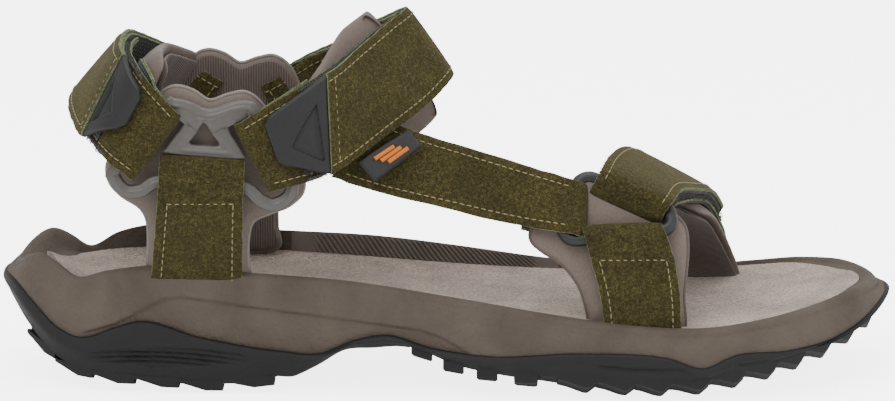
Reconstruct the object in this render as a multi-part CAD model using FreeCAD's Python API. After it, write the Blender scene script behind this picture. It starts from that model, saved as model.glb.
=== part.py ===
import FreeCAD, Part
import math
import os

# A right-foot sport sandal. Millimetres, toe towards +X, outer (little toe)
# side towards -Y, +Z up. The origin is on the ground, under the middle.

V = FreeCAD.Vector

# ---- driving dimensions ---------------------------------------------------
sole_length = 295.0          # overall length, a US men's 9
side_shift = -0.5            # moves the whole sandal in Y so that it is centred
rim_width = 5.5              # wall of foam around the footbed
footbed_thick = 5.0
shank_size = (66.0, 22.0, 1.8)
shank_start = (-75.0, 21.2)   # X of its rear end and Z of its underside
rubber_stand_out = 1.0       # the rubber stands proud of the foam
lug_pitch = 19.5
lug_length = 13.0

web_thick = 1.6              # one layer of webbing and suede
strap_thick = 2.8            # outer strap, suede on webbing
tape_thick = 0.6             # hook tape or loop tape
flap_level = 1.4             # underside of an outer strap above the inner one
hinge_gap = 0.8              # cut between an outer strap and its free end
tab_thick = 1.8
pad_thick = 5.0
lining_thick = 1.2

bracket_thick = 2.6
bracket_rail = 4.5           # width of the bracket's outer rail
bracket_lean = 0.09          # the bracket leans in by this much per mm of height
lateral_plane = -38.5        # Y of the outer bracket at height bracket_mid
medial_plane = 33.0
medial_forward = 9.0         # the inner bracket sits further forward
bracket_mid = 80.0
ring_wire = 4.4              # thickness of the forefoot ring

# Plan outline of the sole, (X, outer Y, inner Y).
plan = [(-147.5, 0.0, 0.0), (-144.0, -14.0, 14.0), (-136.0, -25.0, 25.0), (-122.0, -33.0, 33.5),
        (-100.0, -37.5, 37.5), (-70.0, -38.5, 36.5), (-35.0, -39.0, 34.0), (0.0, -42.5, 35.5),
        (35.0, -48.0, 42.0), (68.0, -51.5, 49.5), (95.0, -48.5, 52.5), (118.0, -39.0, 47.5),
        (134.0, -25.5, 36.0), (144.0, -9.0, 22.0), (147.5, 7.0, 7.0)]

# Side profiles, (X, Z).
rim_line = [(-149, 36.0), (-144, 41.0), (-138, 43.5), (-131, 41.0), (-124, 37.5), (-114, 39.8),
            (-98, 42.2), (-66, 40.0), (-32, 37.2), (0, 32.8), (34, 28.0), (62, 25.0), (85, 24.2),
            (107, 26.2), (126, 29.0), (140, 30.6), (149, 30.0)]
joint_line = [(-149, 34.5), (-144, 33.6), (-137, 28.0), (-129, 21.0), (-121, 18.1), (-110, 21.8),
              (-102, 24.2), (-81, 19.1), (-55, 14.6), (-42, 13.8), (-30, 18.6), (-20, 20.3),
              (-6, 16.5), (12, 14.4), (44, 16.4), (72, 15.3), (84, 11.8), (93, 15.4),
              (112, 15.8), (126, 17.4), (138, 21.4), (149, 28.0)]
ground_line = [(-149, 27.0), (-146, 21.0), (-141, 15.0), (-134, 9.5), (-124, 5.6), (-110, 4.0),
               (-62, 4.0), (-50, 6.6), (-38, 11.6), (-26, 16.0), (-17, 16.6), (-6, 12.0),
               (12, 8.4), (40, 5.2), (86, 5.2), (100, 6.6), (113, 10.0), (126, 14.6),
               (138, 19.4), (149, 25.0)]
footbed_line = [(-149, 36.0), (-136, 35.5), (-125, 32.5), (-110, 31.5), (-70, 31.5), (-36, 30.5),
                (0, 28.0), (34, 25.0), (62, 23.2), (85, 22.6), (107, 24.4), (126, 27.4),
                (149, 30.2)]

# Straps: pairs (upper or rear edge, lower or front edge) on the face that
# touches the layer above, in order along the strap.
heel_line = [((-77, 36.2, 93.5), (-93, 34.8, 71.5)), ((-90, 34, 101), (-107, 32.5, 79)),
             ((-98, 23.5, 106.5), (-115.6, 23, 84)), ((-103.4, 12.5, 110.6), (-121.6, 12.5, 88.6)),
             ((-104.8, 0, 111.8), (-123, 0, 90.6)), ((-104.8, -14, 112.0), (-122, -14.5, 88.4)),
             ((-103.4, -28.5, 111.6), (-117.6, -30.0, 84.6)),
             ((-97.5, -39.8, 105.4), (-111.4, -42.1, 79.9)),
             ((-85.9, -41.2, 92.7), (-102.7, -42.9, 73.0))]
heel_hinge = 4.6             # place along heel_line where the free end starts
heel_end = 6.15              # end of the outer strap's free end

instep_line = [((-61, 36.4, 92.0), (-49, 34.6, 70.5)), ((-50, 33, 99), (-36, 33, 78)),
               ((-39, 25, 105), (-23, 27, 85.5)), ((-26, 13.5, 114), (-9.5, 15.5, 93)),
               ((-16.6, 0, 120.6), (-1, 0, 98.2)), ((-22.5, -9.5, 117.3), (-7.5, -11.5, 92.2)),
               ((-31.5, -21, 111.6), (-22.5, -26, 83.3)), ((-41, -33, 106.0), (-39.5, -39.0, 74.0)),
               ((-57, -40.6, 97.6), (-49.5, -43.2, 71.2)),
               ((-70, -41.4, 89.9), (-57.2, -43.2, 69.3))]
instep_hinge = 4.9
instep_end = 7.0

toe_line = [((47.0, -33.5, 68.1), (70.3, -37.5, 59.6)), ((50.5, -33, 74.6), (73.8, -37.2, 65.0)),
            ((53.8, -20, 77), (78, -21.5, 66)), ((58.6, -4, 76.6), (84.6, -5, 62.6)),
            ((64, 13, 72), (90.5, 12, 58)), ((69.4, 28.5, 62.5), (95.2, 27.5, 48)),
            ((73.2, 39, 50), (97.6, 37.5, 38)), ((75, 44.6, 36), (98.6, 42.8, 28)),
            ((76, 46.4, 19), (99, 44.4, 18))]
toe_hinge = 0.78               # place along toe_line where the flap bends open
toe_strap_start = 1.3        # the inner strap starts past the ring's bar
toe_flap_end = 4.8
toe_depth = -6.2             # underside of the inner toe strap
toe_dip = 6.0                # how much deeper it runs where it passes the ring

diagonal_line = [((-24, -20.5, 90), (-38, -32.5, 72)), ((-9.5, -22, 84.5), (-22.6, -31, 66.5)),
                 ((8, -26.5, 80), (0, -34, 61.5)), ((26, -30.5, 75.2), (22, -38, 57.2)),
                 ((44.6, -33.8, 70.1), (43.8, -42.6, 54.6))]

toe_anchor = [((44.2, -42.8, 56.9), (69.6, -42.0, 58.4)), ((46.5, -43.8, 48), (73.5, -43.0, 48)),
              ((50, -45.2, 34), (75.8, -45.0, 34)), ((51.6, -45.6, 20), (76.4, -45.6, 18.5))]

# Ankle straps, from the bracket down: edge heights, edge X, and distance out from the
# bracket's plane. The last pair is in the sole.
ankle_anchor = [(80.9, 78.9), (66.0, 66.0), (50.0, 50.0), (34.0, 34.0)]
ankle_anchor_x = [(-93.5, -66.0), (-94.3, -66.5), (-95.9, -67.1), (-97.6, -67.6)]
ankle_anchor_out = [3.3, 4.7, 1.2]


# Places along the lines where the folds round the rails and the ring begin.
heel_fold = 7.81
instep_fold = 8.77
ankle_fold = 0.21
diagonal_fold = 3.86
toe_anchor_fold = 0.4


# ---- helpers --------------------------------------------------------------
def moved(shape):
    return shape.translated(V(0, side_shift, 0))


def curve(points):
    spline = Part.BSplineCurve()
    spline.interpolate([V(*p) for p in points])
    return spline.toShape()


def spread(values, s):
    """Catmull-Rom value at place s along a list of vectors."""
    last = len(values) - 1
    s = min(max(s, 0.0), float(last))
    i = min(int(s), last - 1)
    t = s - i
    b = values[i]
    c = values[i + 1]
    a = values[i - 1] if i > 0 else b * 2 - c
    d = values[i + 2] if i + 2 <= last else c * 2 - b
    return (b * 2 + (c - a) * t + (a * 2 - b * 5 + c * 4 - d) * t ** 2
            + (b * 3 - a - c * 3 + d) * t ** 3) * 0.5


def frame_at(line, s, side):
    """Edge points and outward direction of a strap at place s."""
    uppers = [V(*p[0]) for p in line]
    lowers = [V(*p[1]) for p in line]
    a = spread(uppers, s)
    b = spread(lowers, s)
    small = 0.04
    last = len(line) - 1
    ahead = spread(uppers, min(s + small, last)) + spread(lowers, min(s + small, last))
    behind = spread(uppers, max(s - small, 0)) + spread(lowers, max(s - small, 0))
    out = (ahead - behind).cross(a - b) * side
    out.normalize()
    return a, b, out


def plate(rows):
    """Solid through rows of four corners, joined by straight faces."""
    wires = []
    for a, b, c, d in rows:
        wires.append(Part.makePolygon([a, b, c, d, a]))
    solid = Part.makeLoft(wires, True, True)
    if solid.Volume < 0:
        solid.reverse()
    return solid


def strap(line, side, start, end, level, thick, steps=12, widen=(0.0, 0.0), dip=0.0):
    """Band along a strap line whose underside is at the given level.

    With dip, the band starts that much deeper and rises over three stations.
    """
    rows = []
    for k in range(steps + 1):
        place = start + (end - start) * k / steps
        a, b, out = frame_at(line, place, side)
        sunk = dip * max(0.0, 1.0 - place / 3.0)
        across = a - b
        across.normalize()
        a = a + across * widen[0]
        b = b - across * widen[1]
        low = out * (level - sunk)
        high = out * (level - sunk + thick)
        rows.append((a + low, a + high, b + high, b + low))
    return plate(rows)


def looped_strap(line, side, start, end, drop, thick, back, steps=10):
    """Band that ends in a loop round a bar: outer layer, fold, inner layer.

    The outer layer's face is on the line. The fold is at place end, and the
    inner layer runs back beside it for the length of the list back.
    """
    rows = []
    for k in range(steps + 1):
        a, b, out = frame_at(line, start + (end - start) * k / steps, side)
        rows.append((a - out * thick, a, b, b - out * thick))
    a, b, out = frame_at(line, end, side)
    a2, b2, out2 = frame_at(line, end - 0.05 if end > start else end + 0.05, side)
    ahead = (a + b) - (a2 + b2)
    ahead = ahead - out * ahead.dot(out)
    ahead.normalize()
    outer = drop / 2.0 + thick / 2.0
    inner = drop / 2.0 - thick / 2.0
    centre = out * -outer
    for angle in (30, 60, 90, 120, 150):
        turn = math.radians(angle)
        way = out * math.cos(turn) + ahead * math.sin(turn)
        rows.append((a + centre + way * inner, a + centre + way * outer,
                     b + centre + way * outer, b + centre + way * inner))
    for step in back:
        a, b, out = frame_at(line, end - step if end > start else end + step, side)
        rows.append((a - out * drop, a - out * (drop + thick),
                     b - out * (drop + thick), b - out * drop))
    return plate(rows)


def half_plan(grow, column):
    """Plan points moved outwards by grow, on one side."""
    places = []
    count = len(plan)
    for i in range(count):
        x, y = plan[i][0], plan[i][column]
        before = plan[max(i - 1, 0)]
        after = plan[min(i + 1, count - 1)]
        if i == 0:
            nx, ny = -1.0, 0.0
        elif i == count - 1:
            nx, ny = 1.0, 0.0
        else:
            dx = after[0] - before[0]
            dy = after[column] - before[column]
            size = math.hypot(dx, dy)
            sign = 1.0 if column == 1 else -1.0
            nx, ny = sign * dy / size, -sign * dx / size
        places.append((x + nx * grow, y + ny * grow))
    return places


def plan_wire(grow, z):
    """Closed outline of the sole at height z."""
    outer = half_plan(grow, 1)
    inner = half_plan(grow, 2)
    loop = outer + inner[-2:0:-1]
    spline = Part.BSplineCurve()
    spline.interpolate([V(x, y, z) for x, y in loop], PeriodicFlag=True)
    return Part.Wire([spline.toShape()])


def block(grow_low, grow_high):
    """Solid of the plan outline, from under the ground to above the rim."""
    return Part.makeLoft([plan_wire(grow_low, -2.0), plan_wire(grow_high, 60.0)], True)


def slab(top, bottom, y0=-70.0, y1=70.0):
    """Everything between two side profiles."""
    high = curve([(x, y0, z) for x, z in top])
    low = curve([(x, y0, z) for x, z in bottom])
    left = Part.makeLine(high.Vertexes[0].Point, low.Vertexes[0].Point)
    right = Part.makeLine(high.Vertexes[-1].Point, low.Vertexes[-1].Point)
    face = Part.Face(Part.Wire(Part.__sortEdges__([high, right, low, left])))
    return face.extrude(V(0, y1 - y0, 0))


def lifted(line, dz):
    return [(x, z + dz) for x, z in line]


def trimmed(name, shape, others):
    """The largest solid that is left when each of the others is cut away."""
    best = shape
    for other_name, other in others:
        left = sorted(best.cut(other).Solids, key=lambda solid: solid.Volume)
        if left and left[-1].isValid() and left[-1].Volume > 0.4 * shape.Volume:
            best = left[-1]
        else:
            print("could not cut %s by %s" % (name, other_name))
    return best


# ---- sole -----------------------------------------------------------------
def make_outsole():
    base = block(rubber_stand_out - 3.0, rubber_stand_out).common(slab(joint_line, ground_line))
    lugs = []
    # heel lugs, a step every lug_pitch, in three rows
    for x in (-131.0, -112.0, -92.5, -73.0):
        lugs += lug_row(x, lug_pitch - 3.5, 18.0, 3)
    for x in (-6.0, 12.0, 31.0, 50.0, 69.0, 88.0):
        lugs += lug_row(x, lug_length, 18.0, 5)
    for x in (106.0, 121.0):
        lugs += lug_row(x, lug_length - 2.0, 26.0, 3)
    kept = []
    under = slab(lifted(ground_line, 1.0), [(x, lug_floor(x)) for x, z in ground_line])
    chamfered = [plan_wire(-14.0, -0.8), plan_wire(0.0, 4.5), plan_wire(rubber_stand_out, 60.0)]
    tread = Part.makeLoft(chamfered, True, True).common(under)
    tread = tread.common(Part.makeBox(400.0, 200.0, 100.0, V(-200.0, -100.0, 0.0)))
    for lug in lugs:
        piece = lug.common(tread)
        if piece.Volume > 20.0:
            kept.append(piece)
    return base.fuse(kept).removeSplitter()


def lug_floor(x):
    """Height of the lug tips: just under the ground at heel and ball, rising at both ends."""
    if x < -118.0:
        return (-118.0 - x) ** 2 * 0.024
    if -55.0 < x < 5.0:
        return 12.0 * math.sin(math.radians((x + 55.0) * 3.0)) ** 2 * 0.9
    if x > 82.0:
        return (x - 82.0) ** 2 * 0.0053
    return -0.8


def lug_row(x, length, width, count):
    """Blocks across the sole with a gap between each two."""
    gap = 4.0
    total = count * width + (count - 1) * gap
    row = []
    for k in range(count):
        y = -total / 2.0 + k * (width + gap)
        row.append(Part.makeBox(length, width, 40.0, V(x - length / 2.0, y, -1.0)))
    return row


def make_midsole(cutters):
    body = block(-1.5, 0.0).common(slab(rim_line, joint_line))
    cup = block(-rim_width - 3.0, -rim_width + 1.0)
    cup = cup.common(slab(lifted(rim_line, 20.0), lifted(footbed_line, -footbed_thick)))
    body = body.cut(cup)
    length, width, thick = shank_size
    hollow = Part.makeBox(length, width, thick, V(shank_start[0], -width / 2.0, shank_start[1]))
    body = body.cut(hollow)
    for shape in cutters:
        body = body.cut(shape)
    return body, hollow


def make_footbed(cutters):
    bed = block(-rim_width - 3.0, -rim_width + 1.0)
    bed = bed.common(slab(footbed_line, lifted(footbed_line, -footbed_thick)))
    for shape in cutters:
        bed = bed.cut(shape)
    return bed


# ---- ankle brackets -------------------------------------------------------
bracket_edge = [(-93.1, 97.4), (-88.2, 98.8), (-83.2, 97.6), (-77.6, 95.4), (-70.0, 97.6),
                (-64.9, 98.0), (-60.8, 94.9), (-49.6, 75.5), (-48.4, 70.0), (-50.5, 64.8),
                (-56.4, 61.8), (-62.0, 63.6), (-67.5, 67.6), (-93.5, 69.4), (-99.0, 66.6),
                (-105.5, 66.4), (-110.2, 71.2), (-110.0, 77.4)]
tongue_edge = [(-88.5, 96.0), (-84.4, 90.4), (-92.4, 81.8), (-66.2, 80.0), (-71.6, 89.4),
               (-68.5, 95.8)]
window_edge = [(-78.2, 91.0), (-83.8, 84.4), (-73.6, 83.8)]


def flat_face(points, plane):
    places = [V(x, plane, z) for x, z in points]
    return Part.Face(Part.makePolygon(places + [places[0]]))


def rounded_face(points, plane, radius):
    """Polygon face with its corners rounded."""
    face = flat_face(points, plane)
    small = face.makeOffset2D(-radius)
    return small.makeOffset2D(radius)


def make_bracket(plane, forward, lean):
    outer = rounded_face(bracket_edge, 0.0, 2.0)
    inner = outer.makeOffset2D(-bracket_rail)
    ring = outer.cut(inner)
    tongue = flat_face(tongue_edge, 0.0).cut(rounded_face(window_edge, 0.0, 0.8))
    face = ring.fuse(tongue).removeSplitter()
    solid = face.Faces[0].extrude(V(0, bracket_thick, 0))
    if len(face.Faces) > 1:
        for extra in face.Faces[1:]:
            solid = solid.fuse(extra.extrude(V(0, bracket_thick, 0)))
        solid = solid.removeSplitter()
    solid.translate(V(forward, -bracket_thick / 2.0, -bracket_mid))
    solid.rotate(V(0, 0, 0), V(1, 0, 0), math.degrees(math.atan(lean)) * -1.0)
    solid.translate(V(0, plane, bracket_mid))
    return solid


def ankle_line(plane, forward, sole_y):
    """Pairs for the strap that runs from the bracket down into the sole."""
    side = -1.0 if plane < 0 else 1.0
    pairs = []
    for k in range(len(ankle_anchor)):
        za, zb = ankle_anchor[k]
        xa, xb = ankle_anchor_x[k]
        y = plane + side * ankle_anchor_out[k] if k < len(ankle_anchor_out) else sole_y
        pairs.append(((xa + forward, y, za), (xb + forward, y, zb)))
    return pairs


# ---- pads -----------------------------------------------------------------
ankle_pad_edge = [(-88.0, 101.6), (-77.6, 96.6), (-66.0, 101.0), (-50.0, 73.5), (-47.0, 66.5),
                  (-57.0, 59.5), (-64.6, 55.0), (-65.6, 36.0), (-99.4, 36.0), (-99.6, 58.0),
                  (-111.0, 69.0), (-111.0, 77.0), (-95.0, 99.0)]


def make_side_panel(edge, forward, top_y, low_y, thick):
    """Panel with a flat outline, from low_y at the sole to top_y at the top."""
    low_z, top_z = 36.0, 102.0
    face = flat_face([(x + forward, z - low_z) for x, z in edge], 0.0)
    solid = face.extrude(V(0, thick, 0))
    angle = math.degrees(math.atan((top_y - low_y) / (top_z - low_z)))
    solid.rotate(V(0, 0, 0), V(1, 0, 0), -angle)
    solid.translate(V(0, low_y, low_z))
    return solid


toe_pad_edge = [(27.5, 54.0), (45.0, 72.0), (58.0, 69.0), (78.0, 57.0), (79.0, 20.0),
                (47.5, 20.0), (43.0, 36.0), (34.0, 46.0)]


# ---- forefoot ring --------------------------------------------------------
ring_corners = [V(35.6, -39.6, 51.4), V(43.8, -28.0, 72.0), V(72.4, -33.0, 61.6), V(73.6, -38.4, 55.6)]


def make_ring():
    """Rounded ring of round wire: a triangle with its front corner cut off.

    Each corner is one swept piece, from the middle of the side before it to
    the middle of the side after it.
    """
    largest_radius = 4.5
    count = len(ring_corners)
    arcs = []
    for k in range(count):
        p = ring_corners[k]
        before = ring_corners[k - 1] - p
        after = ring_corners[(k + 1) % count] - p
        shorter = min(before.Length, after.Length)
        before.normalize()
        after.normalize()
        half = math.acos(before.dot(after)) / 2.0
        radius = min(largest_radius, 0.45 * shorter * math.tan(half))
        reach = radius / math.tan(half)
        middle = before + after
        middle.normalize()
        top = p + middle * (radius / math.sin(half) - radius)
        arcs.append((p + before * reach, top, p + after * reach))
    pieces = []
    for k in range(count):
        start, top, stop = arcs[k]
        begin = (arcs[k - 1][2] + start) * 0.5
        finish = (stop + arcs[(k + 1) % count][0]) * 0.5
        path = Part.Wire([Part.makeLine(begin, start), Part.Arc(start, top, stop).toShape(),
                          Part.makeLine(stop, finish)])
        circle = Part.Wire([Part.makeCircle(ring_wire / 2.0, begin, start - begin)])
        pieces.append(path.makePipeShell([circle], True, False, 2))
    return pieces[0].fuse(pieces[1:]).removeSplitter()


# ---- tabs and label -------------------------------------------------------
def tab(line, side, start, end, level, thick, tip_upper, tip_lower):
    """Pull tab that narrows from the strap's cut end to its tip."""
    rows = []
    steps = 5
    for k in range(steps + 1):
        share = k / steps
        a, b, out = frame_at(line, start + (end - start) * share, side)
        run = a - b
        top = a - run * tip_upper * share
        low = b + run * tip_lower * share
        rows.append((top + out * level, top + out * (level + thick),
                     low + out * (level + thick), low + out * level))
    return plate(rows)


label_corners = [(-29.6, -33.2, 77.1), (-12.7, -27.2, 86.5), (-8.2, -29.0, 81.4), (-23.8, -35.3, 70.6)]


def make_label():
    a, b, c, d = [V(*p) for p in label_corners]
    out = (b - a).cross(c - a)
    out.normalize()
    if out.y > 0:
        out = out * -1.0
    thick = out * 1.2
    return plate([(a, a + thick, d + thick, d), (b, b + thick, c + thick, c)])


# ---- the sandal -----------------------------------------------------------
# Each soft piece, with the pieces that it lies against: it is cut back to them.
trims = [
    ("lateral_toe_pad", ("toe_strap", "forefoot_ring", "diagonal_strap", "lateral_toe_strap")),
    ("lateral_ankle_strap", ("lateral_ankle_bracket",)),
    ("medial_ankle_strap", ("medial_ankle_bracket",)),
    ("heel_ring_strap", ("lateral_ankle_bracket", "lateral_ankle_strap")),
    ("instep_ring_strap", ("lateral_ankle_bracket", "lateral_ankle_strap", "heel_ring_strap")),
    ("heel_loop_tape", ("heel_ring_strap",)),
    ("instep_loop_tape", ("instep_ring_strap",)),
    ("diagonal_strap", ("forefoot_ring", "instep_ring_strap", "instep_loop_tape")),
    ("lateral_toe_strap", ("forefoot_ring", "diagonal_strap")),
    ("toe_strap", ("forefoot_ring", "lateral_toe_strap", "diagonal_strap")),
    ("toe_loop_tape", ("toe_strap",)),
    ("heel_hook_tape", ("heel_strap_end",)),
    ("instep_hook_tape", ("instep_strap_end",)),
    ("toe_flap", ("forefoot_ring",)),
    ("toe_fold", ("forefoot_ring", "toe_flap")),
    ("toe_hook_tape", ("toe_flap",)),
    ("label", ("instep_strap_end",)),
    ("lateral_ankle_pad", ("lateral_ankle_bracket", "lateral_ankle_strap", "heel_ring_strap",
                           "instep_ring_strap")),
    ("lateral_ankle_lining", ("lateral_ankle_pad", "heel_ring_strap", "instep_ring_strap")),
    ("medial_ankle_pad", ("medial_ankle_bracket", "medial_ankle_strap", "heel_strap",
                          "instep_strap")),
    ("medial_ankle_lining", ("medial_ankle_pad",)),
    ("heel_collar", ("heel_ring_strap", "lateral_ankle_pad", "lateral_ankle_lining",
                     "medial_ankle_pad", "medial_ankle_lining", "lateral_ankle_bracket")),
    ("heel_collar_lining", ("medial_ankle_pad", "medial_ankle_lining", "lateral_ankle_pad",
                            "lateral_ankle_lining")),
    ("instep_pad", ("instep_ring_strap", "lateral_ankle_pad", "lateral_ankle_lining",
                    "lateral_ankle_bracket", "diagonal_strap")),
    ("instep_pad_lining", ("lateral_ankle_pad", "lateral_ankle_lining")),
    ("medial_toe_pad", ("toe_strap",)),
    ("medial_toe_lining", ("medial_toe_pad",)),
]
near_toe_flap = ("diagonal_strap", "lateral_toe_strap", "lateral_toe_pad")


def build():
    nodes = {}
    lat_anchor = ankle_line(lateral_plane, 0.0, -34.6)
    med_anchor = ankle_line(medial_plane, medial_forward, 30.4)
    nodes["lateral_ankle_bracket"] = make_bracket(lateral_plane, 0.0, bracket_lean)
    nodes["medial_ankle_bracket"] = make_bracket(medial_plane, medial_forward, -bracket_lean)
    drop = bracket_thick + web_thick + 0.6
    nodes["lateral_ankle_strap"] = looped_strap(lat_anchor, -1, 3.0, ankle_fold, drop, web_thick,
                                                (0.1, 0.35, 0.7))
    nodes["medial_ankle_strap"] = looped_strap(med_anchor, 1, 3.0, ankle_fold, drop, web_thick,
                                               (0.1, 0.35, 0.7))
    nodes["lateral_ankle_pad"] = make_side_panel(ankle_pad_edge, 0.0, -34.2, -34.2, pad_thick)
    nodes["lateral_ankle_lining"] = make_side_panel(ankle_pad_edge, 0.0, -29.2, -29.2,
                                                    lining_thick)
    nodes["medial_ankle_pad"] = make_side_panel(ankle_pad_edge, medial_forward, 23.7, 23.7,
                                                pad_thick)
    nodes["medial_ankle_lining"] = make_side_panel(ankle_pad_edge, medial_forward, 22.5, 22.5,
                                                   lining_thick)

    nodes["heel_ring_strap"] = looped_strap(heel_line, 1, 3.4, heel_fold, drop, web_thick,
                                            (0.15, 0.5, 1.0, 1.6, 2.2))
    nodes["heel_strap"] = strap(heel_line, 1, 0.0, heel_hinge - 0.03, flap_level, strap_thick)
    nodes["heel_strap_end"] = strap(heel_line, 1, heel_hinge + 0.03, heel_end, flap_level,
                                    strap_thick, 8)
    nodes["heel_pull_tab"] = tab(heel_line, 1, heel_end, 7.15, flap_level + 0.3, tab_thick,
                                 0.12, 0.42)
    nodes["heel_loop_tape"] = strap(heel_line, 1, heel_hinge + 0.1, 6.5, 0.0, tape_thick, 8,
                                    (-2.0, -2.0))
    nodes["heel_hook_tape"] = strap(heel_line, 1, heel_hinge + 0.1, heel_end - 0.05,
                                    flap_level - 0.4, 0.4, 8, (-2.0, -2.0))
    nodes["heel_collar"] = strap(heel_line, 1, 0.6, 6.15, -11.0, 5.5, 14, (4.0, 4.0))
    nodes["heel_collar_lining"] = strap(heel_line, 1, 0.6, 6.1, -12.25, 1.2, 14, (3.0, 3.0))

    nodes["instep_ring_strap"] = looped_strap(instep_line, -1, 3.6, instep_fold, drop,
                                              web_thick, (0.15, 0.5, 1.0, 1.6))
    nodes["instep_strap"] = strap(instep_line, -1, 0.0, instep_hinge - 0.03, flap_level,
                                  strap_thick)
    nodes["instep_strap_end"] = strap(instep_line, -1, instep_hinge + 0.03, instep_end,
                                      flap_level, strap_thick, 8)
    nodes["instep_pull_tab"] = tab(instep_line, -1, instep_end, 8.3, flap_level + 0.3,
                                   tab_thick, 0.12, 0.3)
    nodes["instep_loop_tape"] = strap(instep_line, -1, instep_hinge + 0.1, 7.6, 0.0,
                                      tape_thick, 8, (-2.0, -2.0))
    nodes["instep_hook_tape"] = strap(instep_line, -1, instep_hinge + 0.1, instep_end - 0.05,
                                      flap_level - 0.4, 0.4, 8, (-2.0, -2.0))
    nodes["instep_pad"] = strap(instep_line, -1, 2.2, 7.2, -10.5, 5.0, 12, (8.0, 7.0))
    nodes["instep_pad_lining"] = strap(instep_line, -1, 2.2, 7.2, -11.7, 1.2, 12, (7.0, 6.0))

    ring_drop = ring_wire + web_thick + 0.6
    nodes["diagonal_strap"] = looped_strap(diagonal_line, 1, 0.0, diagonal_fold, ring_drop,
                                           web_thick, (0.1, 0.4, 0.8))
    nodes["label"] = make_label()
    nodes["forefoot_ring"] = make_ring()
    nodes["lateral_toe_strap"] = looped_strap(toe_anchor, -1, 3.0, toe_anchor_fold, ring_drop,
                                              web_thick, (0.1, 0.4, 0.8))
    nodes["lateral_toe_pad"] = make_side_panel(toe_pad_edge, 0.0, -26.0, -36.0, 4.0)
    nodes["toe_strap"] = strap(toe_line, 1, toe_strap_start, 8.0, toe_depth, 2.2, 14,
                               dip=toe_dip)
    nodes["toe_fold"] = strap(toe_line, 1, 0.0, toe_hinge - 0.03, -strap_thick, strap_thick, 6)
    nodes["toe_flap"] = strap(toe_line, 1, toe_hinge + 0.06, toe_flap_end, -strap_thick,
                              strap_thick, 16)
    nodes["toe_pull_tab"] = tab(toe_line, 1, toe_flap_end, 5.7, -strap_thick + 0.3, tab_thick,
                                0.2, 0.2)
    nodes["toe_loop_tape"] = strap(toe_line, 1, 2.4, 5.6, toe_depth + 2.2, 0.5, 8, (-2.0, -2.0))
    nodes["toe_hook_tape"] = strap(toe_line, 1, 2.4, toe_flap_end - 0.05, -strap_thick - 0.4,
                                   0.4, 8, (-2.0, -2.0))
    nodes["medial_toe_pad"] = strap(toe_line, 1, 3.6, 7.75, toe_depth - 4.4, 4.2, 10,
                                    (3.0, 3.0))
    nodes["medial_toe_lining"] = strap(toe_line, 1, 3.6, 7.7, toe_depth - 5.6, 1.2, 10,
                                       (2.0, 2.0))

    flap_room = strap(toe_line, 1, 0.0, 2.0, -strap_thick - 0.4, strap_thick + 0.8, 10,
                      (0.4, 0.4))
    for name, others in trims:
        shapes = [(other, nodes[other]) for other in others]
        if name in near_toe_flap:
            shapes.append(("toe_flap", flap_room))
        nodes[name] = trimmed(name, nodes[name], shapes)

    cutters = []
    for name in ("lateral_ankle_strap", "medial_ankle_strap", "lateral_ankle_pad",
                 "medial_ankle_pad", "lateral_ankle_lining", "medial_ankle_lining",
                 "lateral_toe_strap", "lateral_toe_pad", "toe_strap", "medial_toe_pad",
                 "medial_toe_lining"):
        cutters.append(nodes[name])
    nodes["outsole"] = make_outsole()
    nodes["midsole"], nodes["shank"] = make_midsole(cutters)
    nodes["footbed"] = make_footbed(cutters)
    return nodes


def print_hinge(name, place, axis):
    axis.normalize()
    print("hinge %s at (%.5f, %.5f, %.5f) m along (%.4f, %.4f, %.4f)" % (
        name, place.x / 1000, (place.y + side_shift) / 1000, place.z / 1000,
        axis.x, axis.y, axis.z))


def print_hinges():
    """The three lines about which the free strap ends open."""
    height = flap_level + strap_thick
    a, b, out = frame_at(heel_line, heel_hinge, 1)
    print_hinge("heel_flap", (a + b) * 0.5 + out * height, b - a)
    a, b, out = frame_at(instep_line, instep_hinge, -1)
    print_hinge("instep_flap", (a + b) * 0.5 + out * height, a - b)
    a, b, out = frame_at(toe_line, toe_hinge, 1)
    print_hinge("toe_flap", (a + b) * 0.5, b - a)


def main():
    os.makedirs("parts", exist_ok=True)
    nodes = build()
    for name in sorted(nodes):
        shape = moved(nodes[name])
        box = shape.BoundBox
        print("%-22s valid=%s solids=%d vol=%8.0f x %.1f..%.1f y %.1f..%.1f z %.1f..%.1f" % (
            name, shape.isValid(), len(shape.Solids), shape.Volume, box.XMin, box.XMax,
            box.YMin, box.YMax, box.ZMin, box.ZMax))
        shape.exportStep("parts/" + name + ".step")
    print_hinges()


main()
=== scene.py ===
import math

import bpy
import numpy as np
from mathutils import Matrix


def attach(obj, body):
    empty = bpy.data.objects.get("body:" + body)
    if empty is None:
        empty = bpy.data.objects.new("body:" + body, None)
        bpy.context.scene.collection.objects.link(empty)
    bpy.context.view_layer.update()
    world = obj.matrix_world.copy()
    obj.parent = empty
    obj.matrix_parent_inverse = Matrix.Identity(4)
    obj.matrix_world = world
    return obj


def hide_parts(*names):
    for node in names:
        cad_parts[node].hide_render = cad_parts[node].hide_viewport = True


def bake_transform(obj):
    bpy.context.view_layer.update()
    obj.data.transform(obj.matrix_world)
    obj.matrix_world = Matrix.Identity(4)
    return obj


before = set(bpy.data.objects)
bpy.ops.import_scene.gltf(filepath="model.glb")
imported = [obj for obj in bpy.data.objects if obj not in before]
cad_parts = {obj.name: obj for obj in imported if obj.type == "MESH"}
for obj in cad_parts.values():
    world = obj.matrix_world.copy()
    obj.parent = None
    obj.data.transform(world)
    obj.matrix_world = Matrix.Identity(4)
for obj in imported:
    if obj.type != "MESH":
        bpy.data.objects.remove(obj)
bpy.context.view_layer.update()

# A right-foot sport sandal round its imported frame. Shapes below are worked out
# in millimetres and put into meshes in metres.

mm = 0.001
sideShift = np.array([0.0, -0.5, 0.0])  # centres the sandal's box on the frame
dice = np.random.default_rng(7)

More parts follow.
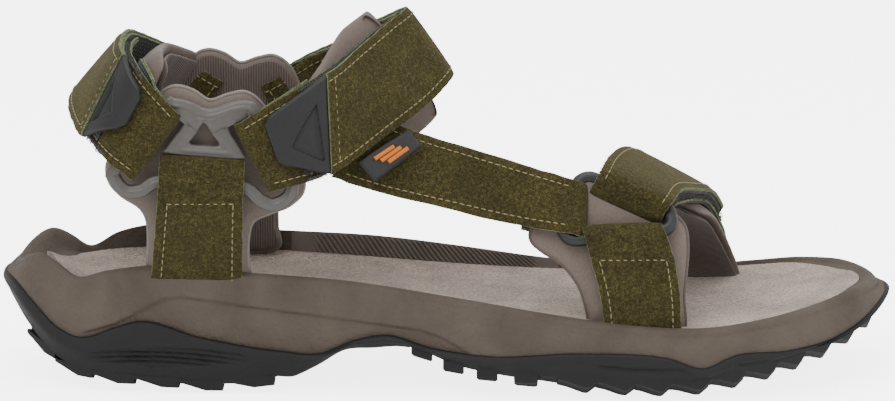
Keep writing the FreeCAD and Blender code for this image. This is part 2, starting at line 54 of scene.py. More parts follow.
# Outline from above: x, outer edge y, inner edge y.
planOutline = np.array([
    (-147.5, 0.0, 0.0), (-144.0, -14.0, 14.0), (-136.0, -25.0, 25.0), (-122.0, -33.0, 33.5),
    (-100.0, -37.5, 37.5), (-70.0, -38.5, 36.5), (-35.0, -39.0, 34.0), (0.0, -42.5, 35.5),
    (35.0, -48.0, 42.0), (68.0, -51.5, 49.5), (95.0, -48.5, 52.5), (118.0, -39.0, 47.5),
    (134.0, -25.5, 36.0), (144.0, -9.0, 22.0), (147.5, 7.0, 7.0)])

# Side profiles (x, z): top of the rim, foam over rubber, and the footbed's upper face.
rimLine = np.array([
    (-149, 36.0), (-144, 41.0), (-138, 43.5), (-131, 41.0), (-124, 37.5), (-114, 39.8),
    (-98, 42.2), (-66, 40.0), (-32, 37.2), (0, 32.8), (34, 28.0), (62, 25.0), (85, 24.2),
    (107, 26.2), (126, 29.0), (140, 30.6), (149, 30.0)])
jointLine = np.array([
    (-149, 34.5), (-144, 33.6), (-137, 28.0), (-129, 21.0), (-121, 18.1), (-110, 21.8),
    (-102, 24.2), (-81, 19.1), (-55, 14.6), (-42, 13.8), (-30, 18.6), (-20, 20.3),
    (-6, 16.5), (12, 14.4), (44, 16.4), (72, 15.3), (84, 11.8), (93, 15.4),
    (112, 15.8), (126, 17.4), (138, 21.4), (149, 28.0)])
footbedLine = np.array([
    (-149, 36.0), (-136, 35.5), (-125, 32.5), (-110, 31.5), (-70, 31.5), (-36, 30.5),
    (0, 28.0), (34, 25.0), (62, 23.2), (85, 22.6), (107, 24.4), (126, 27.4), (149, 30.2)])

# Straps: (upper or rear edge, lower or front edge) at each station.
heelLine = np.array([
    ((-77, 36.2, 93.5), (-93, 34.8, 71.5)), ((-90, 34, 101), (-107, 32.5, 79)),
    ((-98, 23.5, 106.5), (-115.6, 23, 84)), ((-103.4, 12.5, 110.6), (-121.6, 12.5, 88.6)),
    ((-104.8, 0, 111.8), (-123, 0, 90.6)), ((-104.8, -14, 112.0), (-122, -14.5, 88.4)),
    ((-103.4, -28.5, 111.6), (-117.6, -30.0, 84.6)),
    ((-97.5, -39.8, 105.4), (-111.4, -42.1, 79.9)),
    ((-85.9, -41.2, 92.7), (-102.7, -42.9, 73.0))], dtype=float)
instepLine = np.array([
    ((-61, 36.4, 92.0), (-49, 34.6, 70.5)), ((-50, 33, 99), (-36, 33, 78)),
    ((-39, 25, 105), (-23, 27, 85.5)), ((-26, 13.5, 114), (-9.5, 15.5, 93)),
    ((-16.6, 0, 120.6), (-1, 0, 98.2)), ((-22.5, -9.5, 117.3), (-7.5, -11.5, 92.2)),
    ((-31.5, -21, 111.6), (-22.5, -26, 83.3)), ((-41, -33, 106.0), (-39.5, -39.0, 74.0)),
    ((-57, -40.6, 97.6), (-49.5, -43.2, 71.2)),
    ((-70, -41.4, 89.9), (-57.2, -43.2, 69.3))], dtype=float)
toeLine = np.array([
    ((47.0, -33.5, 68.1), (70.3, -37.5, 59.6)), ((50.5, -33, 74.6), (73.8, -37.2, 65.0)),
    ((53.8, -20, 77), (78, -21.5, 66)), ((58.6, -4, 76.6), (84.6, -5, 62.6)),
    ((64, 13, 72), (90.5, 12, 58)), ((69.4, 28.5, 62.5), (95.2, 27.5, 48)),
    ((73.2, 39, 50), (97.6, 37.5, 38)), ((75, 44.6, 36), (98.6, 42.8, 28)),
    ((76, 46.4, 19), (99, 44.4, 18))], dtype=float)
diagonalLine = np.array([
    ((-24, -20.5, 90), (-38, -32.5, 72)), ((-9.5, -22, 84.5), (-22.6, -31, 66.5)),
    ((8, -26.5, 80), (0, -34, 61.5)), ((26, -30.5, 75.2), (22, -38, 57.2)),
    ((44.6, -33.8, 70.1), (43.8, -42.6, 54.6))], dtype=float)
toeAnchor = np.array([
    ((44.2, -42.8, 56.9), (69.6, -42.0, 58.4)), ((46.5, -43.8, 48), (73.5, -43.0, 48)),
    ((50, -45.2, 34), (75.8, -45.0, 34)), ((51.6, -45.6, 20), (76.4, -45.6, 18.5))], dtype=float)

levels = dict(flap=1.4, strap=2.8, web=1.6, bracket=2.6, ring=4.4, toeDepth=-6.2, toeDip=6.0)
hinges = dict(heel=4.6, heelEnd=6.15, instep=4.9, instepEnd=7.0, toe=0.78, toeEnd=4.8)
folds = dict(heel=7.81, instep=8.77, ankle=0.21, diagonal=3.86, toeAnchor=0.4)
ankle = dict(lateral=-38.5, medial=33.0, forward=9.0, lean=0.09, mid=80.0,
             heights=[(80.9, 78.9), (66.0, 66.0), (50.0, 50.0), (34.0, 34.0)],
             sides=[(-93.5, -66.0), (-94.3, -66.5), (-95.9, -67.1), (-97.6, -67.6)],
             outwards=[3.3, 4.7, 1.2])


def splineAt(values, s):
    # Catmull-Rom curve through the rows of values, at places s (0 is the first row).
    values = np.asarray(values, dtype=float)
    last = len(values) - 1
    s = np.clip(np.asarray(s, dtype=float), 0.0, last)
    i = np.minimum(s.astype(int), last - 1)
    t = (s - i).reshape((-1,) + (1,) * (values.ndim - 1))
    padded = np.concatenate([[2 * values[0] - values[1]], values, [2 * values[-1] - values[-2]]])
    a, b, c, d = padded[i], padded[i + 1], padded[i + 2], padded[i + 3]
    return 0.5 * (2 * b + (c - a) * t + (2 * a - 5 * b + 4 * c - d) * t ** 2
                  + (3 * b - a - 3 * c + d) * t ** 3)


def heightAt(line, x):
    # Smooth curve z(x) through the points of a side profile, by cubic Hermite pieces.
    xs, zs = line[:, 0], line[:, 1]
    slope = np.gradient(zs, xs)
    x = np.clip(x, xs[0], xs[-1])
    i = np.clip(np.searchsorted(xs, x) - 1, 0, len(xs) - 2)
    w = xs[i + 1] - xs[i]
    t = (x - xs[i]) / w
    return ((1 + 2 * t) * (1 - t) ** 2 * zs[i] + t * (1 - t) ** 2 * w * slope[i]
            + t * t * (3 - 2 * t) * zs[i + 1] + t * t * (t - 1) * w * slope[i + 1])


def unit(v):
    return v / np.maximum(np.linalg.norm(v, axis=-1, keepdims=True), 1e-9)


def smooth(t):
    t = np.clip(t, 0.0, 1.0)
    return t * t * (3 - 2 * t)


def nearLine(x, z, points):
    # Distance from each (x, z) to a line of straight pieces.
    best = np.full(np.shape(x), 1e9)
    for (x0, z0), (x1, z1) in zip(points[:-1], points[1:]):
        dx, dz = x1 - x0, z1 - z0
        t = np.clip(((x - x0) * dx + (z - z0) * dz) / (dx * dx + dz * dz), 0, 1)
        best = np.minimum(best, np.hypot(x - x0 - t * dx, z - z0 - t * dz))
    return best


def wander(count, amount, step, seed):
    # Smooth random offsets along a row of count points.
    knots = np.random.default_rng(seed).normal(0, amount, max(count // step, 2) + 2)
    return np.interp(np.linspace(0, len(knots) - 1, count), np.arange(len(knots)), knots)


def makeObject(name, verts, faces, materials, faceMaterial=None, cloth=None, body="sandal",
               sharp=40):
    verts = np.asarray(verts, dtype=float).reshape(-1, 3)
    if signedVolume(verts, faces) < 0:
        faces = [f[::-1] for f in faces]
    mesh = bpy.data.meshes.new(name)
    mesh.from_pydata(((verts + sideShift) * mm).tolist(), [], faces)
    for material in materials:
        mesh.materials.append(material)
    if faceMaterial is not None:
        mesh.polygons.foreach_set("material_index", np.asarray(faceMaterial, dtype=np.int32))
    mesh.polygons.foreach_set("use_smooth", np.ones(len(faces), dtype=bool))
    if cloth is not None:
        layer = mesh.attributes.new("cloth", "FLOAT_VECTOR", "POINT")
        layer.data.foreach_set("vector", np.asarray(cloth, dtype=np.float32).ravel())
    mesh.update()
    mesh.set_sharp_from_angle(angle=math.radians(sharp))
    obj = bpy.data.objects.new(name, mesh)
    bpy.context.scene.collection.objects.link(obj)
    if body:
        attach(obj, body)
    return obj


def signedVolume(verts, faces):
    # Sum of the signed tetrahedra from the origin to each fan triangle.
    total = 0.0
    quads = np.array([f for f in faces if len(f) == 4])
    if len(quads):
        a, b, c, d = (verts[quads[:, k]] for k in range(4))
        total += np.einsum("ij,ij->", a, np.cross(b, c)) + np.einsum("ij,ij->", a, np.cross(c, d))
    for f in faces:
        if len(f) != 4:
            p = verts[list(f)]
            total += np.einsum("ij,ij->", np.broadcast_to(p[0], p[1:-1].shape),
                               np.cross(p[1:-1], p[2:]))
    return total


def gridFaces(rows, columns, closeRows=False, closeColumns=False):
    # Quads of a grid of points, row by row.
    r = np.arange(rows if closeRows else rows - 1)
    c = np.arange(columns if closeColumns else columns - 1)
    r, c = np.meshgrid(r, c, indexing="ij")
    r2, c2 = (r + 1) % rows, (c + 1) % columns
    faces = np.stack([r * columns + c, r2 * columns + c, r2 * columns + c2, r * columns + c2], -1)
    return faces.reshape(-1, 4).tolist()


def tubeGrid(points):
    # Faces of rings of points joined in order, with a cap on each end.
    rows, columns = points.shape[:2]
    faces = gridFaces(rows, columns, closeColumns=True)
    faces.append(list(range(columns))[::-1])
    faces.append([(rows - 1) * columns + k for k in range(columns)])
    return faces


def newMaterial(name):
    material = bpy.data.materials.new(name)
    material.use_nodes = True
    nodes = material.node_tree.nodes
    links = material.node_tree.links
    shader = nodes["Principled BSDF"]
    return material, nodes, links, shader


def setInputs(node, values):
    for name, value in values.items():
        node.inputs[name].default_value = value


def noiseNode(nodes, links, vector, scale, detail=3.0, roughness=0.55, distortion=0.0):
    node = nodes.new("ShaderNodeTexNoise")
    setInputs(node, {"Scale": scale, "Detail": detail, "Roughness": roughness,
                     "Distortion": distortion})
    links.new(vector, node.inputs["Vector"])
    return node.outputs["Fac"]


def rampNode(nodes, links, fac, stops):
    node = nodes.new("ShaderNodeValToRGB")
    node.color_ramp.elements[0].position = stops[0][0]
    node.color_ramp.elements[0].color = (*stops[0][1], 1)
    node.color_ramp.elements[1].position = stops[-1][0]
    node.color_ramp.elements[1].color = (*stops[-1][1], 1)
    for place, colour in stops[1:-1]:
        node.color_ramp.elements.new(place).color = (*colour, 1)
    links.new(fac, node.inputs["Fac"])
    return node.outputs["Color"]


def mathNode(nodes, links, operation, a, b=None):
    node = nodes.new("ShaderNodeMath")
    node.operation = operation
    for k, value in enumerate((a, b)):
        if value is None:
            continue
        if isinstance(value, (int, float)):
            node.inputs[k].default_value = value
        else:
            links.new(value, node.inputs[k])
    return node.outputs[0]


def mixColour(nodes, links, fac, a, b, mode="MIX"):
    node = nodes.new("ShaderNodeMix")
    node.data_type = "RGBA"
    node.blend_type = mode
    for socket, value in ((node.inputs["Factor"], fac), (node.inputs[6], a), (node.inputs[7], b)):
        if hasattr(value, "is_output"):
            links.new(value, socket)
        elif isinstance(value, (int, float)):
            socket.default_value = value
        else:
            socket.default_value = (*value, 1)
    return node.outputs[2]


def bumpNode(nodes, links, shader, height, strength, distance):
    node = nodes.new("ShaderNodeBump")
    setInputs(node, {"Strength": strength, "Distance": distance})
    links.new(height, node.inputs["Height"])
    links.new(node.outputs["Normal"], shader.inputs["Normal"])


def objectCoords(nodes):
    return nodes.new("ShaderNodeTexCoord").outputs["Object"]


def suedeFinish(name, dark, middle, light, grain=2600, sheen=0.3, bump=0.5, tint=(0.9, 0.85, 0.6)):
    # Short nap: colour = three tones picked by fine noise, times broad soft mottling.
    material, nodes, links, shader = newMaterial(name)
    where = objectCoords(nodes)
    fine = noiseNode(nodes, links, where, grain, 2.0, 0.6)
    coarse = noiseNode(nodes, links, where, 900, 2.0, 0.6)
    broad = noiseNode(nodes, links, where, 70, 2.0, 0.5, 0.6)
    speck = mathNode(nodes, links, "ADD", mathNode(nodes, links, "MULTIPLY", fine, 0.6),
                     mathNode(nodes, links, "MULTIPLY", coarse, 0.4))
    colour = rampNode(nodes, links, speck, [(0.36, dark), (0.5, middle), (0.66, light)])
    shade = rampNode(nodes, links, broad, [(0.3, (0.8, 0.8, 0.8)), (0.7, (1.16, 1.16, 1.12))])
    colour = mixColour(nodes, links, 1.0, colour, shade, "MULTIPLY")
    links.new(colour, shader.inputs["Base Color"])
    setInputs(shader, {"Roughness": 0.95, "Specular IOR Level": 0.15, "Sheen Weight": sheen,
                       "Sheen Roughness": 0.6, "Sheen Tint": (*tint, 1)})
    bumpNode(nodes, links, shader, speck, bump, 0.0006)
    return material


def mouldedFinish(name, low, high, roughness, grain, bump, pebble=0.0, pebbleScale=420,
                  specular=0.4):
    # Moulded skin: two close tones mixed by soft noise; bump = fine grain plus rounded pebbles.
    material, nodes, links, shader = newMaterial(name)
    where = objectCoords(nodes)
    soft = noiseNode(nodes, links, where, 55, 4.0, 0.55, 0.4)
    colour = rampNode(nodes, links, soft, [(0.3, low), (0.7, high)])
    links.new(colour, shader.inputs["Base Color"])
    fine = noiseNode(nodes, links, where, grain, 3.0, 0.6)
    height = mathNode(nodes, links, "MULTIPLY", fine, 0.5)
    if pebble:
        cells = noiseNode(nodes, links, where, pebbleScale, 2.0, 0.45, 1.1)
        height = mathNode(nodes, links, "ADD", height,
                          mathNode(nodes, links, "MULTIPLY", cells, pebble))
    setInputs(shader, {"Roughness": roughness, "Specular IOR Level": specular})
    bumpNode(nodes, links, shader, height, bump, 0.0008)
    return material


def clothCoords(nodes):
    # Places stored on the mesh, in metres: along and across a strap, or plain x, y, z on a side panel.
    node = nodes.new("ShaderNodeAttribute")
    node.attribute_name = "cloth"
    return node.outputs["Vector"]


def waveNode(nodes, links, vector, direction, values):
    node = nodes.new("ShaderNodeTexWave")
    node.bands_direction = direction
    setInputs(node, values)
    links.new(vector, node.inputs["Vector"])
    return node.outputs["Fac"]


def webbingFinish(name, dark, light):
    # Woven tape: two crossed waves over the cloth's own length and width.
    material, nodes, links, shader = newMaterial(name)
    cloth = clothCoords(nodes)
    weave = mathNode(nodes, links, "MULTIPLY",
                     *[waveNode(nodes, links, cloth, direction,
                                {"Scale": 1500 / 6.28, "Distortion": 0.6}) for direction in "XY"])
    links.new(rampNode(nodes, links, weave, [(0.1, dark), (0.8, light)]),
              shader.inputs["Base Color"])
    setInputs(shader, {"Roughness": 0.85, "Sheen Weight": 0.15})
    bumpNode(nodes, links, shader, weave, 0.6, 0.0004)
    return material


def ribbedFinish(name, dark, light, pitch):
    # Ribbed lining: fine ribs across the cloth's length, colour darker in the grooves.
    material, nodes, links, shader = newMaterial(name)
    wave = waveNode(nodes, links, clothCoords(nodes), "X",
                    {"Scale": 2 * math.pi / 20.0 / (pitch * mm), "Distortion": 0.35,
                     "Detail Scale": 2.0})
    grain = noiseNode(nodes, links, objectCoords(nodes), 1500, 2.0, 0.6)
    broad = noiseNode(nodes, links, objectCoords(nodes), 60, 2.0, 0.5)
    rib = mathNode(nodes, links, "ADD", mathNode(nodes, links, "MULTIPLY", wave, 0.7),
                   mathNode(nodes, links, "MULTIPLY", grain, 0.3))
    colour = rampNode(nodes, links, rib, [(0.15, dark), (0.75, light)])
    shade = rampNode(nodes, links, broad, [(0.3, (0.86, 0.86, 0.86)), (0.7, (1.1, 1.1, 1.1))])
    links.new(mixColour(nodes, links, 1.0, colour, shade, "MULTIPLY"), shader.inputs["Base Color"])
    setInputs(shader, {"Roughness": 0.8, "Sheen Weight": 0.2})
    bumpNode(nodes, links, shader, rib, 0.55, 0.0005)
    return material


def plainFinish(name, low, high, roughness, scale=900, bump=0.2, sheen=0.0, specular=0.4):
    # Fine even surface: two close tones mixed by fine noise, with the same noise as bump.
    material, nodes, links, shader = newMaterial(name)
    fine = noiseNode(nodes, links, objectCoords(nodes), scale, 3.0, 0.55)
    links.new(rampNode(nodes, links, fine, [(0.3, low), (0.7, high)]), shader.inputs["Base Color"])
    setInputs(shader, {"Roughness": roughness, "Specular IOR Level": specular,
                       "Sheen Weight": sheen})
    bumpNode(nodes, links, shader, fine, bump, 0.0004)
    return material


oliveSuede = suedeFinish("oliveSuede", (0.01032, 0.008109, 0.002212), (0.02728, 0.02212, 0.005898),
                         (0.07003, 0.05824, 0.02064), 2600, 0.10, 0.7, (0.6, 0.55, 0.3))
cutEdge = suedeFinish("paleCutEdge", (0.044, 0.0496, 0.0224), (0.104, 0.12, 0.06),
                      (0.216, 0.24, 0.144), 2200, 0.05, 0.6, (0.8, 0.9, 0.7))
footbedSuede = suedeFinish("footbedSuede", (0.1323, 0.09878, 0.08114), (0.2425, 0.194, 0.1658),
                           (0.3704, 0.3043, 0.2646), 1500, 0.15, 0.5, (0.9, 0.85, 0.8))
foamSkin = mouldedFinish("foamSkin", (0.04931, 0.03738, 0.02784), (0.07318, 0.05727, 0.04375),
                         0.7, 1800, 0.55, 1.3, 430, 0.25)
# Lighter copy of foamSkin for the arch ribs: painted light that lifts the shade in the hollow between
# the inner rim wall and the footbed.
foamRibPaintedLight = mouldedFinish("foamRibPaintedLight", (0.0855, 0.0675, 0.054), (0.1215, 0.0972, 0.0792),
                        0.75, 1800, 0.3)
rubberSkin = mouldedFinish("rubberSkin", (0.002257, 0.002257, 0.002307),
                           (0.004264, 0.004264, 0.004364), 0.62, 2400, 0.45, 0.3, 700, 0.3)
blackWeb = webbingFinish("blackWeb", (0.003, 0.003, 0.003), (0.014, 0.014, 0.014))
liningCloth = ribbedFinish("liningCloth", (0.036, 0.0248, 0.0192), (0.1, 0.0736, 0.0592), 0.85)

padCloth = plainFinish("padCloth", (0.0966, 0.07314, 0.06072), (0.1207, 0.09246, 0.07728),
                       0.65, 1300, 0.12, 0.08, 0.3)
liningCloth = ribbedFinish("liningCloth", (0.036, 0.0248, 0.0192), (0.1, 0.0736, 0.0592), 0.85)
bracketPlastic = plainFinish("bracketPlastic", (0.05186, 0.04552, 0.04033), (0.06338, 0.05647, 0.05071),
                             0.42, 600, 0.08, 0.0, 0.45)
ringPlastic = plainFinish("ringPlastic", (0.005655, 0.00609, 0.006525), (0.008265, 0.0087, 0.00957),
                          0.45, 700, 0.10, 0.0, 0.4)
tabRubber = plainFinish("tabRubber", (0.004352, 0.004352, 0.004608), (0.006656, 0.006656, 0.006912),
                        0.55, 1200, 0.15, 0.0, 0.35)
creamThread = plainFinish("creamThread", (0.136, 0.12, 0.048), (0.224, 0.192, 0.088),
                          0.7, 2500, 0.3, 0.2, 0.3)
pipingCloth = plainFinish("pipingCloth", (0.048, 0.0336, 0.0264), (0.076, 0.0544, 0.0432),
                          0.65, 1500, 0.2, 0.15)
paleBead = plainFinish("paleBead", (0.119, 0.1015, 0.0875), (0.147, 0.126, 0.1085), 0.5, 900, 0.1)
labelCloth = plainFinish("labelCloth", (0.007, 0.007, 0.007), (0.012, 0.012, 0.012), 0.7, 1600, 0.3)
orangeMark = plainFinish("orangeMark", (0.36, 0.095, 0.005), (0.44, 0.125, 0.007), 0.65, 1600, 0.2)
fuzzFibre = plainFinish("fuzzFibre", (0.012, 0.013, 0.011), (0.055, 0.058, 0.048), 0.8, 2500, 0.2,
                        0.3)
shankNylon = plainFinish("shankNylon", (0.015, 0.015, 0.015), (0.022, 0.022, 0.022), 0.5)
print("materials ready")


sole = dict(corner=2.6, archRise=2.6, around=520, wall=46, rimWidth=6.0, toeRim=3.0,
            heelRim=7.5, lean=2.4, bulge=0.9, carve=0.9, outsoleProud=1.1, ribDepth=0.9,
            grooveDepth=0.8)


def planLoop(count):
    # Closed outline: the outer side from heel to toe, then the inner side back.
    outer = planOutline[:, [0, 1]]
    inner = planOutline[-2:0:-1][:, [0, 2]]
    loop = np.concatenate([outer, inner])
    ring = np.concatenate([loop[-2:], loop, loop[:3]])
    s = np.linspace(0, len(loop), count, endpoint=False) + 2
    points = splineAt(ring, s)
    # even spacing along the outline
    steps = np.linalg.norm(np.diff(np.vstack([points, points[:1]]), axis=0), axis=1)
    length = np.concatenate([[0], np.cumsum(steps)])
    even = np.linspace(0, length[-1], count, endpoint=False)
    wrapped = np.vstack([points, points[:1]])
    points = np.stack([np.interp(even, length, wrapped[:, k]) for k in (0, 1)], 1)
    tangent = np.roll(points, -1, 0) - np.roll(points, 1, 0)
    normal = unit(np.stack([tangent[:, 1], -tangent[:, 0]], 1))
    return points, normal


def rimWidthAt(x):
    # The rim is wider round the heel and the toe.
    return (sole["rimWidth"] + sole["heelRim"] * smooth((-118 - x) / 26)
            + sole["toeRim"] * smooth((x - 118) / 24))


# From the heel to the arch the wall is set back below this line (x, z), on both sides.
carveLine = np.array([
    (-124, 18.5), (-120, 19.6), (-109, 23.2), (-104, 25.9), (-97, 30), (-93, 31.8), (-88, 32.5),
    (-78, 31.3), (-64, 29.2), (-40, 26.0), (-9, 22.2), (-3, 20.4), (3, 17.2), (9, 13.5)])


def makeMidsole():
    # Wall: from the rubber up to the rim, round over the rim, down to the footbed, then in.
    ring, normal = planLoop(sole["around"])
    x = ring[:, 0]
    low = heightAt(jointLine, x)
    high = heightAt(rimLine, x)
    bedHeight = np.minimum(heightAt(footbedLine, x), high - 1.2)
    width = rimWidthAt(x)
    medial = smooth((ring[:, 1] - 5) / 12)
    arch = medial * np.exp(-((x + 10) / 45.0) ** 2)
    # the inner side's rim stands higher along the arch and lower behind the heel
    high = high + sole["archRise"] * arch - 2.0 * medial * np.exp(-((x + 124) / 8.0) ** 2)
    rows = []
    count = sole["wall"]
    t = np.linspace(0, 1, count)
    corner = sole["corner"]
    for k in range(count):
        z = low - 0.6 + (high - corner - low + 0.6) * t[k]
        out = -sole["lean"] * t[k] ** 1.6 + sole["bulge"] * np.sin(math.pi * t[k])
        line = np.interp(x, carveLine[:, 0], carveLine[:, 1])
        inside = smooth((x + 122) / 4) * smooth((9 - x) / 6)
        under = smooth((line - z) / 0.8 + 0.5)
        crease = np.exp(-((z - line) / 0.55) ** 2)
        out = out - inside * (sole["carve"] * under + 0.35 * crease)
        rows.append((out, z))
    top = high - corner
    for angle in np.radians([15, 30, 45, 60, 75, 90]):
        rows.append((-sole["lean"] - corner * (1 - np.cos(angle)), top + corner * np.sin(angle)))
    # rim crest and the slope down to the footbed
    inner = width - sole["lean"] - corner
    for share in (0.2, 0.4, 0.6, 0.8, 0.92, 1.0):
        drop = (high - bedHeight) * smooth(share * 1.05) * 0.98
        rows.append((-sole["lean"] - corner - inner * share - 1.2 * arch * share, high - drop))
    rows.append((-width - 3.0 - 1.2 * arch, bedHeight - 1.5))
    points = np.empty((len(rows) + 1, len(x), 3))
    for k, (out, z) in enumerate(rows):
        points[k, :, :2] = ring + normal * np.broadcast_to(out, x.shape)[:, None]
        points[k, :, 2] = z
    points[-1, :, :2] = ring - normal * (width + 3.0)[:, None]
    points[-1, :, 2] = low - 0.6
    faces = gridFaces(len(rows) + 1, len(x), closeRows=True, closeColumns=True)
    obj = makeObject("midsoleFoam", points, faces, [foamSkin], sharp=50)
    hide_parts("midsole")


bed = dict(grooveDepth=0.16, grooveWidth=0.8, reach=14.0, crown=0.5, thick=2.0)
bedLines = [[(-43, -6), (-33, -8), (-16, -14), (-6, -22), (8, -30), (20, -34), (30, -37)],
            [(30, -36), (42, -31)], [(34, -41), (46, -42)]]


def makeFootbed():
    # Grid over length and width: height = side profile, lifted near the rim.
    ring, normal = planLoop(520)
    edge = ring - normal * (rimWidthAt(ring[:, 0]) - 0.4)[:, None]
    middle = np.interp(edge[:, 0], [-138, -40, 20, 106, 145], [0, -1, -3, 4, 7])
    u = (1 - np.cos(np.linspace(0, math.pi, 260))) / 2
    x = edge[:, 0].min() + 0.05 + (np.ptp(edge[:, 0]) - 0.1) * u
    sides = []
    for sign in (-1, 1):
        half = edge[(edge[:, 1] - middle) * sign > 0]
        half = half[np.argsort(half[:, 0])]
        sides.append(np.interp(x, half[:, 0], half[:, 1]))
    v = (1 - np.cos(np.linspace(0, math.pi, 70))) / 2
    y = sides[0][:, None] * (1 - v) + sides[1][:, None] * v
    x = np.broadcast_to(x[:, None], y.shape)
    near = np.hypot(x.ravel()[:, None] - edge[None, ::2, 0],
                    y.ravel()[:, None] - edge[None, ::2, 1])
    gap = near.min(1).reshape(y.shape)
    rim = heightAt(rimLine, edge[::2, 0])[near.argmin(1)].reshape(y.shape)
    base = heightAt(footbedLine, x.ravel()).reshape(y.shape)
    lift = np.clip(rim - base - 0.9, 0, 20) * (0.28 + 0.69 * smooth((10 - y) / 20))
    z = base + 0.2 + lift * smooth((bed["reach"] - gap) / bed["reach"])
    z = z + bed["crown"] * np.exp(-((x - 50) / 30) ** 2) * smooth(gap / 20)
    for line in bedLines:
        z = z - bed["grooveDepth"] * np.exp(-(nearLine(x, y, line) / bed["grooveWidth"]) ** 2)
    top = np.stack([x, y, z], -1)
    loop = np.concatenate([top, top[:, ::-1] - np.array([0, 0, bed["thick"]])], axis=1)
    obj = makeObject("footbedTop", loop, tubeGrid(loop), [footbedSuede], sharp=50)
    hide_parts("footbed")


archRibs = dict(start=-47.0, stop=31.0, count=44, depth=0.45, slant=9.0)


def makeArchRibs():
    # Patch on the inner face of the inner rim; depth = saw wave over x plus slant times height.
    ring, normal = planLoop(3000)
    keep = ((ring[:, 1] > 10) & (ring[:, 0] > archRibs["start"] - 6)
            & (ring[:, 0] < archRibs["stop"] + 6))
    ring, normal = ring[keep][::-1], normal[keep][::-1]
    even = np.linspace(0, len(ring) - 1, 620).astype(int)
    ring, normal = ring[even], normal[even]
    x = ring[:, 0]
    arch = np.exp(-((x + 10) / 45.0) ** 2)
    high = heightAt(rimLine, x) + sole["archRise"] * arch
    bedHeight = np.minimum(heightAt(footbedLine, x), high - 1.2)
    width = rimWidthAt(x)
    inner = width - sole["lean"] - sole["corner"]
    shares = np.linspace(0.12, 0.98, 26)
    rows = []
    pitch = (archRibs["stop"] - archRibs["start"]) / archRibs["count"]
    ends = smooth((x - archRibs["start"]) / 4) * smooth((archRibs["stop"] - x) / 4)
    for share in shares:
        drop = (high - bedHeight) * smooth(share * 1.05) * 0.98
        z = high - drop + 0.25
        out = -sole["lean"] - sole["corner"] - inner * share - 1.2 * arch * share
        phase = (x - archRibs["slant"] * (share - 0.5)) / pitch * 2 * math.pi
        fade = smooth((share - 0.12) / 0.12) * smooth((0.98 - share) / 0.1)
        cut = archRibs["depth"] * np.clip(np.sin(phase), -0.2, 1) * ends * fade
        rows.append(np.column_stack([ring + normal * (out - 0.25 + cut)[:, None], z - 0.4 * cut]))
    front = np.array(rows)
    back = front + np.append(normal * 1.2, np.full((len(x), 1), -0.8), axis=1)[None]
    loop = np.concatenate([front, back[::-1]], axis=0).transpose(1, 0, 2)
    # The ribs take the lighter foam copy, painted light against the shade they sit in.
    obj = makeObject("archRibPanel", loop, tubeGrid(loop), [foamRibPaintedLight], sharp=60)
    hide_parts("midsole")


heelRibs = dict(centre=-92.0, reach=27.0, height=12.4, spread=3.6, pitch=1.75)
sideGrooves = [[(50, 12.4), (60, 11.6), (76, 11.6), (79, 10.0)],
               [(94, 12.6), (108, 13.2), (119, 15.0), (130, 18.4), (139, 22.0)]]

# Height of the tooth tips along the sole, and the teeth, given by the place of each front.
treadLine = np.array([
    (-149, 24), (-145, 21), (-139.6, 15.0), (-129.8, 5.5), (-117.4, 1.0), (-103, 0), (-60, 0),
    (-52, 2.5), (-43, 7), (-35, 12), (-26, 13), (-13, 13), (-5, 8.5), (5, 4.8), (16, 2.8),
    (29, 1.5), (37, 0.6), (48, 0), (86, 0.3), (97, 2.2), (108, 4.2), (117.4, 6.6), (126.5, 9.5),
    (135, 13.2), (149, 21)])
tread = dict(heel=[-139.6, -129.8, -117.4, -103.4, -88.7, -74.0, -57.3],
             arch=[(-11.9, -5.0), (-1.5, 5.4), (9.6, 16.4), (22.0, 29.6)],
             fore=[36.0, 48.8, 61.4, 72.7, 85.7, 97.3, 108.0, 117.4, 126.5, 135.2, 142.0],
             notch=2.3, bevel=12.0)


def bevelLift(x):
    # The outer edge of the tread stands clear of the ground, more under the ball.
    return 3.0 + 2.0 * smooth((x - 0) / 45) - 2.0 * smooth((x - 118) / 24)


